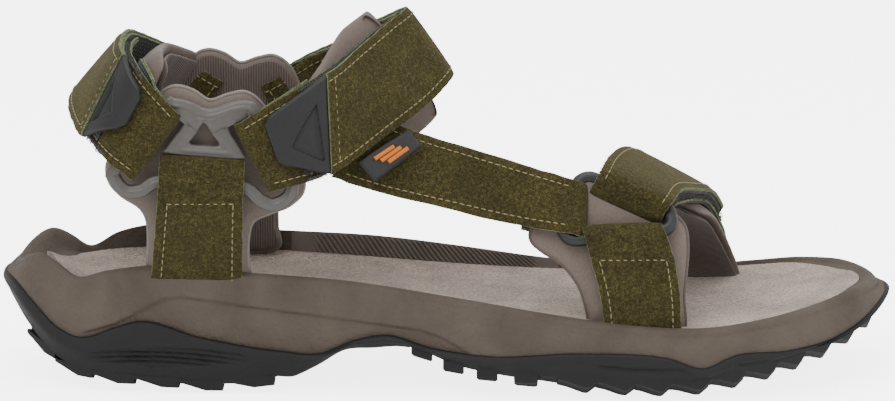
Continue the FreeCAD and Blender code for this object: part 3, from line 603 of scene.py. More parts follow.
def makeOutsole():
    # Wall: from the joint down to the notches between the teeth, then in under the sole.
    ring, normal = planLoop(sole["around"])
    x = ring[:, 0]
    high = heightAt(jointLine, x) + 0.2
    floor = heightAt(treadLine, x)
    arch = smooth((x + 58) / 8) * smooth((-9 - x) / 6)
    under = floor + tread["notch"] * (1 - arch)
    low = np.minimum(under + bevelLift(x), high - 2.2)
    proud = sole["outsoleProud"]
    rows = [(-3.0 + 0 * x, high - 0.4), (proud - 0.9 + 0 * x, high - 0.1),
            (proud - 0.25 + 0 * x, high - 0.3)]
    for t in np.linspace(0, 1, 44):
        z = high - 0.8 + (low + 0.5 - high + 0.8) * t
        out = proud - 1.2 * t ** 2 + 0.7 * np.exp(-((t - 0.35) / 0.3) ** 2)
        lens = np.clip(1 - ((x - heelRibs["centre"]) / heelRibs["reach"]) ** 2
                       - ((z - heelRibs["height"]) / heelRibs["spread"]) ** 2, 0, 1)
        bend = 0.0030 * (x - heelRibs["centre"] + 6) ** 2
        wave = 0.5 + 0.5 * np.cos((z + bend - heelRibs["height"]) / heelRibs["pitch"] * 2 * math.pi)
        out = out - np.sqrt(lens) * (0.7 + sole["ribDepth"] * wave)
        for line in sideGrooves:
            out = out - sole["grooveDepth"] * np.exp(-(nearLine(x, z, line) / 0.7) ** 2)
        rows.append((out, z))
    for inset, share in ((-1.2, 0.0), (-4.0, 0.3), (-8.0, 0.65), (-12.0, 1.0)):
        rows.append((inset + 0 * x, low * (1 - share) + np.minimum(under, low) * share))
    points = np.empty((len(rows), len(x), 3))
    for k, (out, z) in enumerate(rows):
        points[k, :, :2] = ring + normal * out[:, None]
        points[k, :, 2] = z
    inside = []
    for share in (0.35, 0.7, 0.97):
        shrunk = points[-1].copy()
        shrunk[:, 1] = shrunk[:, 1] * (1 - share)
        inside.append(shrunk)
    roof = []
    for share in (0.97, 0.5):
        shrunk = points[0].copy()
        shrunk[:, 1] = shrunk[:, 1] * (1 - share)
        roof.append(shrunk)
    points = np.concatenate([np.array(roof), points, np.array(inside)])
    faces = gridFaces(len(points), len(x), closeRows=True, closeColumns=True)
    obj = makeObject("outsoleRubber", points, faces, [rubberSkin], sharp=45)
    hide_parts("outsole")


def makeTread():
    # Teeth: bars across the sole, each a row of blocks with a sloping underside.
    ring, _ = planLoop(900)
    halves = []
    for sign in (-1, 1):
        half = ring[ring[:, 1] * sign > 0]
        halves.append(half[np.argsort(half[:, 0])])

    def toothBlock(x0, x1, low, high, shape):
        # shape lists (share along the tooth, height above the tip)
        share, rise = np.array(shape).T
        x = x0 + (x1 - x0) * share
        lateral = np.interp(x, halves[0][:, 0], halves[0][:, 1]) - 0.1
        medial = np.interp(x, halves[1][:, 0], halves[1][:, 1]) + 0.1
        width = medial - lateral
        a = lateral + width * low + (0 if low == 0 else 1.1)
        b = lateral + width * high - (0 if high == 1 else 1.1)
        floor = heightAt(treadLine, np.full(len(x), x1 - 0.3 * (x1 - x0))) * 0.5
        floor = floor + heightAt(treadLine, x) * 0.5
        roof = floor + tread["notch"] + 1.2
        tip = floor + rise
        lift = bevelLift(x)
        bevel = np.minimum(tread["bevel"], (b - a) * 0.6)
        outerLeft, outerRight = (low == 0), (high == 1)
        leftBottom = tip + (lift if outerLeft else 0)
        rightBottom = tip + (lift if outerRight else 0)
        c1 = a + (bevel if outerLeft else 0.5)
        c2 = b - (bevel if outerRight else 0.5)
        rows = [(a, roof + (lift if outerLeft else 0)), (b, roof + (lift if outerRight else 0)),
                (b, rightBottom), (c2, tip), (c1, tip), (a, leftBottom)]
        return np.stack([np.stack([x, y, z], 1) for y, z in rows], 1)

    full = tread["notch"]
    heelShape = [(0, full), (0.12, full * 0.9), (0.62, 0), (0.98, 0), (1.0, 0.15)]
    foreShape = [(0, full), (0.25, full * 0.75), (0.68, 0), (0.78, 0.0), (1.0, full)]
    archShape = [(0, 0.5), (0.1, 0), (0.9, 0), (1.0, 0.4)]
    blocks = []
    for start, stop in zip(tread["heel"][:-1], tread["heel"][1:]):
        blocks += [toothBlock(start, stop, k / 3, (k + 1) / 3, heelShape) for k in range(3)]
    for start, stop in tread["arch"]:
        blocks += [toothBlock(start, stop, k / 4, (k + 1) / 4, archShape) for k in range(4)]
    for start, stop in zip(tread["fore"][:-1], tread["fore"][1:]):
        blocks += [toothBlock(start, stop, k / 4, (k + 1) / 4, foreShape) for k in range(4)]
    faces, first = [], 0
    for block in blocks:
        faces += [[v + first for v in f] for f in tubeGrid(block)]
        first += block.shape[0] * block.shape[1]
    verts = np.concatenate([block.reshape(-1, 3) for block in blocks])
    obj = makeObject("treadTeeth", verts, faces, [rubberSkin], sharp=25)
    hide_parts("outsole")


makeMidsole()
makeArchRibs()
makeFootbed()
makeOutsole()
makeTread()
print("sole ready")


def stationsOf(line, s, side):
    # Edge points and outward direction of a strap at places s.
    s = np.asarray(s, dtype=float)
    edges = splineAt(line, s)
    last = len(line) - 1
    ahead = splineAt(line, np.minimum(s + 0.04, last)).sum(1)
    behind = splineAt(line, np.maximum(s - 0.04, 0)).sum(1)
    across = edges[:, 0] - edges[:, 1]
    return edges[:, 0], edges[:, 1], unit(np.cross(ahead - behind, across) * side)


def routeAlong(line, side, start, end, level, count=60, dip=0.0):
    # Band's middle layer: the strap's line moved out by level.
    s = np.linspace(start, end, count)
    a, b, out = stationsOf(line, s, side)
    lift = level - dip * np.clip(1 - s / 3.0, 0, None)
    return a + out * lift[:, None], b + out * lift[:, None], out


def routeLoop(line, side, start, end, drop, thick, back):
    # Outer layer on the line, a half turn at the fold, then the inner layer beside it.
    s = np.linspace(start, end, 40)
    a, b, out = stationsOf(line, s, side)
    a, b = a - out * thick / 2, b - out * thick / 2
    a0, b0, out0 = (v[0] for v in stationsOf(line, [end], side))
    step = -0.05 if end > start else 0.05
    a1, b1, _ = (v[0] for v in stationsOf(line, [end + step], side))
    ahead = (a0 + b0) - (a1 + b1)
    ahead = unit(ahead - out0 * np.dot(ahead, out0))
    turn = np.radians(np.linspace(15, 165, 11))[:, None]
    way = out0 * np.cos(turn) + ahead * np.sin(turn)
    centre = -out0 * (drop / 2 + thick / 2) + way * (drop / 2)
    back = np.linspace(0.06, back, 24)
    s2 = end - back if end > start else end + back
    a2, b2, out2 = stationsOf(line, s2, side)
    depth = drop + thick / 2
    return (np.concatenate([a, a0 + centre, a2 - out2 * depth]),
            np.concatenate([b, b0 + centre, b2 - out2 * depth]),
            np.concatenate([out, way, -out2]))


def lengthOf(route):
    middle = (route[0] + route[1]) / 2
    return np.concatenate([[0], np.cumsum(np.linalg.norm(np.diff(middle, axis=0), axis=1))])


def strapBand(name, route, thick, body="sandal", suedeShare=0.55, crown=0.25, seed=1,
              materials=None):
    # Cross-section: suede on top with a cut edge, and narrower black webbing under it.
    a, b, out = route
    n = len(a)
    across = unit(a - b)
    middle = (a + b) / 2
    half = np.linalg.norm(a - b, axis=1) / 2
    top = np.linspace(-1, 1, 15)
    step = thick * suedeShare
    profile = [(v, 0.0, thick / 2 - 0.35 * np.abs(v) ** 10, 0) for v in top]
    profile += [(1, 0.10, thick / 2 - 0.45 * step, 1), (1, 0.0, thick / 2 - step, 1),
                (1, -0.55, thick / 2 - step - 0.05, 1), (1, -0.5, -thick / 2, 2)]
    profile += [(v, 0.0, -thick / 2, 2) for v in np.linspace(0.8, -0.8, 5)]
    profile += [(-1, 0.5, -thick / 2, 2), (-1, 0.55, thick / 2 - step - 0.05, 2),
                (-1, 0.0, thick / 2 - step, 1), (-1, -0.10, thick / 2 - 0.45 * step, 1)]
    length = lengthOf(route)
    roughRight, roughLeft = wander(n, 0.10, 2, seed), wander(n, 0.10, 2, seed + 50)
    points = np.empty((n, len(profile), 3))
    cloth = np.empty((n, len(profile), 3))
    kinds = []
    for k, (v, extra, height, kind) in enumerate(profile):
        rough = roughRight if v > 0.9 else (roughLeft if v < -0.9 else 0)
        sideways = v * half + extra + rough
        lift = height + crown * (1 - v * v)
        points[:, k] = middle + across * sideways[:, None] + out * lift
        cloth[:, k, 0] = length * mm
        cloth[:, k, 1] = sideways * mm
        cloth[:, k, 2] = 0
        kinds.append(kind)
    faces = tubeGrid(points)
    columns = len(profile)
    # each face takes the kind of its second column, and the ends are cut edges
    perColumn = [1 if kinds[k] != kinds[(k + 1) % columns] or kinds[k] == 1 else kinds[k]
                 for k in range(columns)]
    perColumn[14] = 1
    perColumn[-1] = 1
    faceKinds = perColumn * (n - 1) + [1, 1]
    materials = materials or [oliveSuede, cutEdge, blackWeb]
    return makeObject(name, points, faces, materials, faceKinds, cloth, body, sharp=55)


def sampleAt(places, length, line):
    return np.stack([np.interp(places, length, line[:, k]) for k in range(3)], 1)


def stitchRow(paths, name, pitch=2.35, span=1.75, radius=0.2, body="sandal"):
    # Threads: a short bowed capsule every pitch along each path of (points, outward).
    rings, sides = 5, 6
    shape = np.linspace(-1, 1, rings)
    angle = np.linspace(0, 2 * math.pi, sides, endpoint=False)
    allPoints = []
    faces = []
    first = 0
    unitFaces = np.array(gridFaces(rings, sides, closeColumns=True))
    for points, out in paths:
        steps = np.linalg.norm(np.diff(points, axis=0), axis=1)
        length = np.concatenate([[0], np.cumsum(steps)])
        count = max(int(length[-1] / pitch), 1)
        centres = (np.arange(count) + 0.5) * length[-1] / count
        place = sampleAt(centres, length, points)
        before = sampleAt(centres - 0.4, length, points)
        after = sampleAt(centres + 0.4, length, points)
        normal = unit(sampleAt(centres, length, out))
        along = unit(after - before)
        sideways = np.cross(normal, along)
        skew = dice.normal(0, 0.05, count)[:, None]
        along = unit(along + sideways * skew)
        sideways = np.cross(normal, along)
        size = radius * np.sqrt(np.clip(1 - 0.75 * shape ** 2, 0.1, 1))
        bow = 0.22 * (1 - shape ** 2) - 0.16
        block = (place[:, None, None]
                 + along[:, None, None] * (shape * span / 2)[None, :, None, None]
                 + normal[:, None, None]
                 * (bow[:, None] + size[:, None] * np.sin(angle))[None, :, :, None]
                 + sideways[:, None, None] * (size[:, None] * np.cos(angle))[None, :, :, None])
        allPoints.append(block.reshape(-1, 3))
        for k in range(count):
            base = first + k * rings * sides
            faces += (unitFaces + base).tolist()
            faces.append([base + c for c in range(sides)][::-1])
            faces.append([base + (rings - 1) * sides + c for c in range(sides)])
        first += count * rings * sides
    return makeObject(name, np.concatenate(allPoints), faces, [creamThread], body=body,
                      sharp=80)


def edgePath(route, edge, inset, lift, first=0, last=None):
    # Line beside one edge of a band, on its outer face.
    a, b, out = (v[first:last] for v in route)
    across = unit(a - b)
    base = a - across * inset if edge > 0 else b + across * inset
    return base + out * lift, out


def crossPath(route, index, insetA, insetB, lift):
    # Line straight across a band at one of its stations.
    a, b, out = (v[index] for v in route)
    across = unit(a - b)
    start, end = a - across * insetA, b + across * insetB
    t = np.linspace(0, 1, 24)[:, None]
    points = start * (1 - t) + end * t + out * lift
    return points, np.broadcast_to(out, points.shape)


def tubeAlong(points, radius, name, material, closedLoop=False, sides=8):
    # Round cord carried along a line of points.
    ahead = np.roll(points, -1, 0) - np.roll(points, 1, 0)
    if not closedLoop:
        ahead[0], ahead[-1] = points[1] - points[0], points[-1] - points[-2]
    ahead = unit(ahead)
    reference = np.array([0.13, 0.9, 0.41])
    side = unit(np.cross(ahead, reference))
    up = np.cross(side, ahead)
    angle = np.linspace(0, 2 * math.pi, sides, endpoint=False)
    ringPoints = (points[:, None] + radius * (side[:, None] * np.cos(angle)[None, :, None]
                                              + up[:, None] * np.sin(angle)[None, :, None]))
    if closedLoop:
        faces = gridFaces(len(points), sides, closeRows=True, closeColumns=True)
    else:
        faces = tubeGrid(ringPoints)
    return makeObject(name, ringPoints, faces, [material], sharp=60)


def ankleLine(plane, forward, soleY):
    # Strap from the bracket down into the sole, as edge pairs.
    sign = -1.0 if plane < 0 else 1.0
    faces = [plane + sign * step for step in ankle["outwards"]] + [soleY]
    return np.array([((xa + forward, y, za), (xb + forward, y, zb))
                     for (za, zb), (xa, xb), y in zip(ankle["heights"], ankle["sides"], faces)])


def stitchedEdges(route, lift, first=0, last=None):
    return [edgePath(route, side, 2.6, lift, first, last) for side in (1, -1)]


flapTop = levels["flap"] + levels["strap"] / 2
bracketDrop = levels["bracket"] + levels["web"] + 0.6
ringDrop = levels["ring"] + levels["web"] + 0.6


def blendHeel(obj):
    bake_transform(obj)


def blendInstep(obj):
    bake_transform(obj)


def makeHeelStraps():
    thick = levels["strap"]
    outer = routeAlong(heelLine, 1, 0.0, hinges["heelEnd"], flapTop, 110)
    strap = strapBand("heelStrap", outer, thick, body=None, seed=3)
    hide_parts("heel_strap", "heel_strap_end")
    blendHeel(strap)
    lift = thick / 2 + 0.1
    threads = stitchRow(stitchedEdges(outer, lift, 8) + [crossPath(outer, 107, 2.6, 2.6, lift)],
                        "heelStrapThreads", body=None)
    blendHeel(threads)
    inner = routeLoop(heelLine, 1, 3.2, folds["heel"], bracketDrop, levels["web"], 2.2)
    ringStrap = strapBand("heelRingStrap", inner, levels["web"], suedeShare=0.6, seed=5)
    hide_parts("heel_ring_strap")
    stitchRow([edgePath(inner, 1, 2.4, 0.95, 18, 40), edgePath(inner, -1, 2.4, 0.95, 18, 40)],
              "heelRingThreads")


def makeInstepStraps():
    thick = levels["strap"]
    outer = routeAlong(instepLine, -1, 0.0, hinges["instepEnd"], flapTop, 130)
    strap = strapBand("instepStrap", outer, thick, body=None, seed=7)
    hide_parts("instep_strap", "instep_strap_end")
    blendInstep(strap)
    lift = thick / 2 + 0.1
    threads = stitchRow(stitchedEdges(outer, lift, 8) + [crossPath(outer, 126, 2.6, 2.6, lift)],
                        "instepStrapThreads", body=None)
    blendInstep(threads)
    inner = routeLoop(instepLine, -1, 3.4, folds["instep"], bracketDrop, levels["web"], 1.6)
    ringStrap = strapBand("instepRingStrap", inner, levels["web"], suedeShare=0.6, seed=9)
    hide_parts("instep_ring_strap")
    stitchRow([edgePath(inner, 1, 2.4, 0.95, 22, 40), edgePath(inner, -1, 2.4, 0.95, 22, 40)],
              "instepRingThreads")


def makeAnkleStraps():
    for name, plane, forward, soleY, side in (
            ("lateral", ankle["lateral"], 0.0, -34.6, -1),
            ("medial", ankle["medial"], ankle["forward"], 30.4, 1)):
        line = ankleLine(plane, forward, soleY)
        route = routeLoop(line, side, 3.0, folds["ankle"], bracketDrop, levels["web"], 0.7)
        strap = strapBand(name + "AnkleStrap", route, levels["web"], suedeShare=0.6, seed=11)
        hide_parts(name + "_ankle_strap")
        lift = 0.95
        box = [crossPath(route, 27, 2.6, 2.6, lift), edgePath(route, 1, 3.2, lift, 2, 28),
               edgePath(route, -1, 3.2, lift, 2, 28)]
        stitchRow(box, name + "AnkleThreads")


def makeDiagonal():
    route = routeLoop(diagonalLine, 1, 0.0, folds["diagonal"], ringDrop, levels["web"], 0.8)
    strap = strapBand("diagonalStrap", route, levels["web"], suedeShare=0.6, seed=13)
    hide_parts("diagonal_strap")
    stitchRow(stitchedEdges(route, 0.95, 2, 39), "diagonalThreads")


def makeToeAnchor():
    route = routeLoop(toeAnchor, -1, 3.0, folds["toeAnchor"], ringDrop, levels["web"], 0.8)
    strap = strapBand("toeAnchorStrap", route, levels["web"], suedeShare=0.6, seed=17)
    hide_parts("lateral_toe_strap")
    lift = 0.95
    stitchRow([crossPath(route, 28, 2.6, 2.6, lift), edgePath(route, 1, 2.6, lift, 2, 29),
               edgePath(route, -1, 2.6, lift, 2, 29)], "toeAnchorThreads")


def makeToeStraps():
    thick = levels["strap"]
    inner = routeAlong(toeLine, 1, 1.3, 8.0, levels["toeDepth"] + 1.1, 90, levels["toeDip"])
    strap = strapBand("toeInnerStrap", inner, 2.2, seed=19)
    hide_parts("toe_strap")
    stitchRow(stitchedEdges(inner, 1.2, 45, 86), "toeInnerThreads")
    outer = routeAlong(toeLine, 1, hinges["toe"] - 0.36, hinges["toeEnd"], -thick / 2, 80)
    flap = strapBand("toeFlap", outer, thick, body=None, seed=23)
    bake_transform(flap)
    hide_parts("toe_flap")
    lift = thick / 2 + 0.1
    threads = stitchRow(stitchedEdges(outer, lift, 3, 77) + [crossPath(outer, 76, 2.6, 2.6, lift)],
                        "toeFlapThreads", body=None)
    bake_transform(threads)
    # the fold goes down the front of the ring's bar and turns up behind it
    front = routeAlong(toeLine, 1, hinges["toe"] - 0.28, 0.0, -thick / 2, 12)
    ahead = unit((front[0][-1] - front[0][-4]) + (front[1][-1] - front[1][-4]))
    t = np.linspace(0.06, 1, 18)[:, None]
    swing = ahead * np.sin(t * math.pi) * 2.6
    way = unit(front[2][-1] * np.cos(t * math.pi) + ahead * np.sin(t * math.pi))
    route = [np.concatenate([front[k], front[k][-1] * (1 - t) + inner[k][0] * t + swing])
             for k in (0, 1)]
    fold = strapBand("toeFold", (*route, np.concatenate([front[2], way])), thick - 0.1, seed=29,
                     crown=0.1)
    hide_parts("toe_fold")


def makeMedialLayer(name, line, side, end, edgeLift):
    # Inner layer that comes through the lining: its suede faces the foot.
    s = np.linspace(0.05, end, 40)
    a, b, out = stationsOf(line, s, side)
    lift = (-1.3 - edgeLift * smooth((1.5 - s) / 1.2))[:, None]
    route = (b + out * lift, a + out * lift, -out)
    strapBand(name, route, 1.5, suedeShare=0.6, seed=37, crown=0.1)
    stitchRow(stitchedEdges(route, 0.9, 0, 39) + [crossPath(route, 2, 2.6, 2.6, 0.9)],
              name + "Threads")


makeMedialLayer("heelMedialLayer", heelLine, 1, 1.5, 13.4)
makeMedialLayer("instepMedialLayer", instepLine, -1, 2.6, 14.0)
makeHeelStraps()
makeInstepStraps()
makeAnkleStraps()
makeDiagonal()
makeToeAnchor()
makeToeStraps()
print("straps and threads ready")


def tapeBand(name, line, side, start, end, level, thick, body, *nodes):
    a, b, out = routeAlong(line, side, start, end, level + thick / 2, 40)
    across = unit(a - b)
    obj = strapBand(name, (a - across * 2.0, b + across * 2.0, out), thick, body=body,
                    crown=0.0, materials=[blackWeb, blackWeb, blackWeb], seed=31)
    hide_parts(*nodes)


def fuzzTufts(name, line, side, start, end, level, edgeInset, count, reach, body, seed):
    # Loose loops of pile at a strap's edges: bent three-sided hairs leaning outwards.
    random = np.random.default_rng(seed)
    s = random.uniform(start, end, count)
    a, b, out = stationsOf(line, s, side)
    across = unit(a - b)
    which = random.choice((1, -1), count)[:, None]
    root = np.where(which > 0, a - across * edgeInset, b + across * edgeInset)
    root = root + out * (level + random.uniform(-0.5, 0.5, (count, 1)))
    lean = unit(across * which + out * random.normal(0.0, 0.45, (count, 1))
                + unit(np.cross(out, across)) * random.normal(0, 0.6, (count, 1)))
    curl = unit(np.cross(lean, out)) * random.normal(0, 0.5, (count, 1))
    size = random.uniform(0.5, 1.0, (count, 1)) * reach
    t = np.array([0.0, 0.35, 0.7, 1.0])
    line3 = (root[:, None] + lean[:, None] * (t[None, :, None] * size[:, None])
             + curl[:, None] * (t[None, :, None] ** 2 * size[:, None] * 0.6))
    angle = np.linspace(0, 2 * math.pi, 3, endpoint=False)
    radius = np.array([0.13, 0.12, 0.10, 0.05])
    p = unit(np.cross(lean, np.array([0.3, 0.5, 0.8])))
    q = np.cross(lean, p)
    ring = (line3[:, :, None] + radius[None, :, None, None]
            * (p[:, None, None] * np.cos(angle)[None, None, :, None]
               + q[:, None, None] * np.sin(angle)[None, None, :, None]))
    base = gridFaces(4, 3, closeColumns=True) + [[2, 1, 0], [9, 10, 11]]
    faces = [[v + k * 12 for v in f] for k in range(count) for f in base]
    return makeObject(name, ring, faces, [fuzzFibre], body=body, sharp=80)


tapeBand("heelLoopTape", heelLine, 1, 4.7, 6.5, 0.0, 0.6, "sandal", "heel_loop_tape")
tapeBand("heelHookTape", heelLine, 1, 4.75, 6.1, 0.9, 0.5, "heel_flap", "heel_hook_tape")
tapeBand("instepLoopTape", instepLine, -1, 5.0, 7.6, 0.0, 0.6, "sandal", "instep_loop_tape")
tapeBand("instepHookTape", instepLine, -1, 5.05, 6.9, 0.9, 0.5, "instep_flap", "instep_hook_tape")
tapeBand("toeLoopTape", toeLine, 1, 2.4, 5.6, -4.0, 0.5, "sandal", "toe_loop_tape")
tapeBand("toeHookTape", toeLine, 1, 2.4, 4.75, -3.3, 0.5, "toe_flap_group", "toe_hook_tape")
fuzzTufts("heelFuzz", heelLine, 1, 4.8, 6.9, 0.3, 1.2, 500, 2.0, "sandal", seed=3)
fuzzTufts("instepFuzz", instepLine, -1, 5.0, 7.5, 0.3, 1.2, 700, 2.0, "sandal", seed=4)
fuzzTufts("toeFuzz", toeLine, 1, 1.2, 5.0, -3.8, 1.0, 900, 2.2, "sandal", seed=6)
print("tapes ready")


def insideTriangle(x, y, corners):
    # Distance to the nearest side of a triangle, positive inside it.
    (x0, y0), (x1, y1), (x2, y2) = corners
    turn = np.sign((x1 - x0) * (y2 - y0) - (y1 - y0) * (x2 - x0))
    nearest = np.full(np.shape(x), 1e9)
    for (ax, ay), (bx, by) in (((x0, y0), (x1, y1)), ((x1, y1), (x2, y2)), ((x2, y2), (x0, y0))):
        size = math.hypot(bx - ax, by - ay)
        nearest = np.minimum(nearest, turn * ((bx - ax) * (y - ay) - (by - ay) * (x - ax)) / size)
    return nearest


def pullTab(name, line, side, start, end, level, thick, tipUpper, tipLower, body, node, corners,
            dimple=0.0):
    # Outline narrows to the tip; the outer face has a sunk triangle that slopes up to one side.
    n, m = 90, 80
    share = np.linspace(0, 1, n)
    s = start + (end - start) * share
    a, b, out = stationsOf(line, s, side)
    run = a - b
    rounding = 0.05 * smooth((share - 0.86) / 0.14)
    upper = a - run * (tipUpper * share + rounding)[:, None]
    lower = b + run * (tipLower * share + rounding)[:, None]
    v = np.sin(np.linspace(-math.pi / 2, math.pi / 2, m))
    mixed = (v[None, :, None] + 1) / 2
    base = lower[:, None] * (1 - mixed) + upper[:, None] * mixed
    edge = np.minimum((1 - np.abs(v))[None, :] * 12, np.minimum(share, 1 - share)[:, None] * 20)
    plump = np.sqrt(np.clip(1 - (1 - np.clip(edge / 1.1, 0, 1)) ** 2, 0, 1))
    width = np.linalg.norm(upper - lower, axis=1)[:, None]
    tall = np.linalg.norm((a + b)[-1] - (a + b)[0]) / 2
    py = v[None, :] * width / 2
    px = np.broadcast_to(share[:, None] * tall, py.shape)
    half = width[0, 0] / 2
    corners = [(u * tall, w * half) for u, w in corners]
    depth = insideTriangle(px, py, corners)
    sunk = smooth(depth / 0.5 + 0.5) * (1.0 - 0.75 * smooth(depth / 3.2))
    border = np.exp(-((depth + 0.7) / 0.45) ** 2)
    pit = np.exp(-((px - corners[0][0]) ** 2 + (py - corners[0][1]) ** 2) / 0.9)
    face = thick * (0.25 + 0.75 * plump) - 0.85 * sunk + 0.16 * border - dimple * pit
    topSide = base + out[:, None] * (level + face)[..., None]
    lowSide = base + out[:, None] * (level + 0.25 * (1 - plump))[..., None]
    loop = np.concatenate([topSide, lowSide[:, ::-1]], axis=1)
    obj = makeObject(name, loop, tubeGrid(loop), [tabRubber], body=body, sharp=50)
    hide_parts(node)


pullTab("heelPullTab", heelLine, 1, 6.12, 7.15, 1.7, 2.0, 0.12, 0.42, "heel_flap", "heel_pull_tab",
        [(0.20, 0.42), (0.60, -0.22), (0.16, -0.62)], 0.5)
pullTab("instepPullTab", instepLine, -1, 6.97, 8.3, 1.7, 2.0, 0.12, 0.3, "instep_flap",
        "instep_pull_tab", [(0.20, 0.46), (0.66, -0.22), (0.12, -0.70)])
pullTab("toePullTab", toeLine, 1, 4.77, 5.7, -2.5, 2.0, 0.2, 0.2, "toe_flap_group",
        "toe_pull_tab", [(0.18, 0.45), (0.62, -0.1), (0.18, -0.55)])
print("pull tabs ready")


def softPad(name, line, side, start, end, level, thick, widenA, widenB, material, node,
            power=2.6, taper=0.0):
    # Closed pad: superellipse section (crowned, rolled edges) that closes at both ends.
    count, endRound = 110, 0.35
    s = np.linspace(start, end, count)
    a, b, out = stationsOf(line, s, side)
    across = unit(a - b)
    t = np.linspace(0, 1, count)
    early = (1 - taper * smooth(1 - np.minimum(t, 1 - t) / 0.35))[:, None]
    a = a + across * (widenA * early - 3.0 * (1 - early))
    b = b - across * (widenB * early - 9.0 * (1 - early))
    middle = (a + b) / 2 + out * (level + thick / 2)
    half = np.linalg.norm(a - b, axis=1) / 2
    ends = np.clip(np.minimum(t, 1 - t) / endRound * 2.2, 0, 1)
    close = np.clip(1 - (1 - ends) ** 2.4, 0.02, 1) ** 0.5
    angle = np.linspace(0, 2 * math.pi, 44, endpoint=False)
    c, d = np.cos(angle), np.sin(angle)
    sideways = np.sign(c) * np.abs(c) ** (2 / power)
    height = np.sign(d) * np.abs(d) ** (2 / 2.2)
    ripple = (0.25 * np.sin(t * 61)[:, None] * np.abs(height)[None, :]
              * (np.abs(sideways) > 0.6)[None, :])
    widthShare = 0.86 + 0.14 * close
    points = (middle[:, None] + across[:, None] * (half * widthShare)[:, None, None]
              * sideways[None, :, None]
              + out[:, None]
              * ((thick / 2 * close)[:, None] * height[None, :] + ripple * 0.3)[..., None])
    cloth = np.empty_like(points)
    middleLine = np.concatenate([[0], np.cumsum(np.linalg.norm(np.diff(middle, axis=0), axis=1))])
    cloth[..., 0] = middleLine[:, None] * mm
    cloth[..., 1] = half[:, None] * sideways[None, :] * mm
    cloth[..., 2] = 0
    obj = makeObject(name, points, tubeGrid(points), [material], cloth=cloth, sharp=70)
    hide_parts(node)


softPad("heelCollarPad", heelLine, 1, 0.95, 6.5, -12.6, 6.2, 5.0, 4.5, padCloth, "heel_collar")
softPad("heelCollarLining", heelLine, 1, 1.0, 6.45, -13.8, 2.6, 3.0, 3.0, liningCloth,
        "heel_collar_lining", power=3.4)
softPad("instepPad", instepLine, -1, 2.15, 7.2, -12.4, 6.0, 6.0, 8.0, padCloth, "instep_pad",
        taper=1.0)
softPad("instepPadLining", instepLine, -1, 2.3, 7.0, -13.4, 2.4, 4.6, 6.4, liningCloth,
        "instep_pad_lining", power=3.4, taper=1.0)
softPad("medialToePad", toeLine, 1, 3.3, 7.75, -10.8, 4.6, 3.4, 3.4, padCloth, "medial_toe_pad")
softPad("medialToeLining", toeLine, 1, 3.4, 7.7, -12.0, 2.2, 2.4, 2.4, liningCloth,
        "medial_toe_lining", power=3.4)
print("strap pads ready")


anklePadEdge = np.array([
    (-93.0, 99.6), (-88.4, 101.6), (-83.0, 100.2), (-77.6, 97.0), (-71.5, 98.8), (-65.6, 99.4),
    (-60.0, 94.6), (-54.5, 84.0), (-48.0, 72.5), (-47.6, 66.0), (-52.0, 61.6), (-58.0, 59.4),
    (-64.0, 56.4), (-65.6, 50.0), (-65.7, 43.0), (-65.8, 35.0), (-82.0, 33.5), (-98.4, 35.0),
    (-98.3, 44.0), (-98.2, 55.0), (-100.6, 61.0), (-107.0, 65.2), (-111.0, 70.0), (-111.0, 76.4),
    (-105.0, 84.0), (-98.0, 92.5)])
toePadEdge = np.array([
    (27.8, 55.0), (32.0, 60.0), (42.0, 69.6), (50.0, 70.0), (64.0, 65.0), (76.0, 57.6),
    (78.6, 50.0), (77.4, 34.0), (76.8, 20.0), (63.0, 18.5), (47.0, 20.0), (46.0, 27.0),
    (43.2, 36.0), (38.0, 43.0), (31.0, 47.6), (27.4, 51.0)])


def closedCurve(points, count):
    ring = np.concatenate([points[-2:], points, points[:3]])
    return splineAt(ring, np.linspace(0, len(points), count, endpoint=False) + 2)


def sidePanel(name, edge, centre, faceY, thick, outer, materials, node, grow=0.0):
    # Polar grid inside a closed outline; thickness falls off to a rolled edge.
    outline = closedCurve(edge, 240)
    centre = np.array(centre)
    outline = outline + unit(outline - centre) * grow
    share = np.sin(np.linspace(0.02, math.pi / 2, 26))
    plan = centre + (outline - centre)[None] * share[:, None, None]
    plump = np.sqrt(np.clip(1 - share ** 7, 0.0, 1))[:, None]
    y = faceY(plan[..., 0], plan[..., 1])
    front = np.stack([plan[..., 0], y + outer * thick / 2 * plump, plan[..., 1]], -1)
    back = np.stack([plan[..., 0], y - outer * thick / 2 * plump, plan[..., 1]], -1)
    rings = np.concatenate([front, back[::-1][1:]])
    obj = makeObject(name, rings, tubeGrid(rings), materials, cloth=rings * mm, sharp=70)
    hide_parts(node)
    return outline


def ankleFace(base, centreX, outer):
    def face(x, z):
        curve = -outer * 0.0035 * (x - centreX) ** 2
        lean = -outer * 0.05 * np.clip(z - 80, 0, 40)
        return base + curve + lean
    return face


def toeFace(x, z):
    # Leans in towards the foot as it rises.
    lean = np.where(z < 40, 0.12 * (z - 20), 2.4 + 0.26 * (z - 40))
    return -39.6 + lean


for label, forward, base, outer, linBase in (("lateral", 0.0, -32.0, -1, -29.2),
                                             ("medial", ankle["forward"], 26.0, 1, 23.2)):
    edge = anklePadEdge + np.array([forward - (1.5 if outer > 0 else 0), 0.0])
    edge[:, 1] += (2.3 if outer > 0 else 0) * smooth((edge[:, 1] - 84) / 8)
    centre = (-81.0 + forward, 64.0)
    rim = sidePanel(label + "AnklePad", edge, centre, ankleFace(base, centre[0], outer), 5.4,
                           outer, [padCloth], label + "_ankle_pad")
    sidePanel(label + "AnkleLining", edge, centre, ankleFace(linBase, centre[0], outer), 1.6, outer,
              [liningCloth], label + "_ankle_lining", grow=-1.4)
    y = ankleFace(base, centre[0], outer)(rim[:, 0], rim[:, 1])
    tubeAlong(np.column_stack([rim[:, 0], y, rim[:, 1]]), 0.75, label + "AnklePiping", paleBead,
              closedLoop=True)

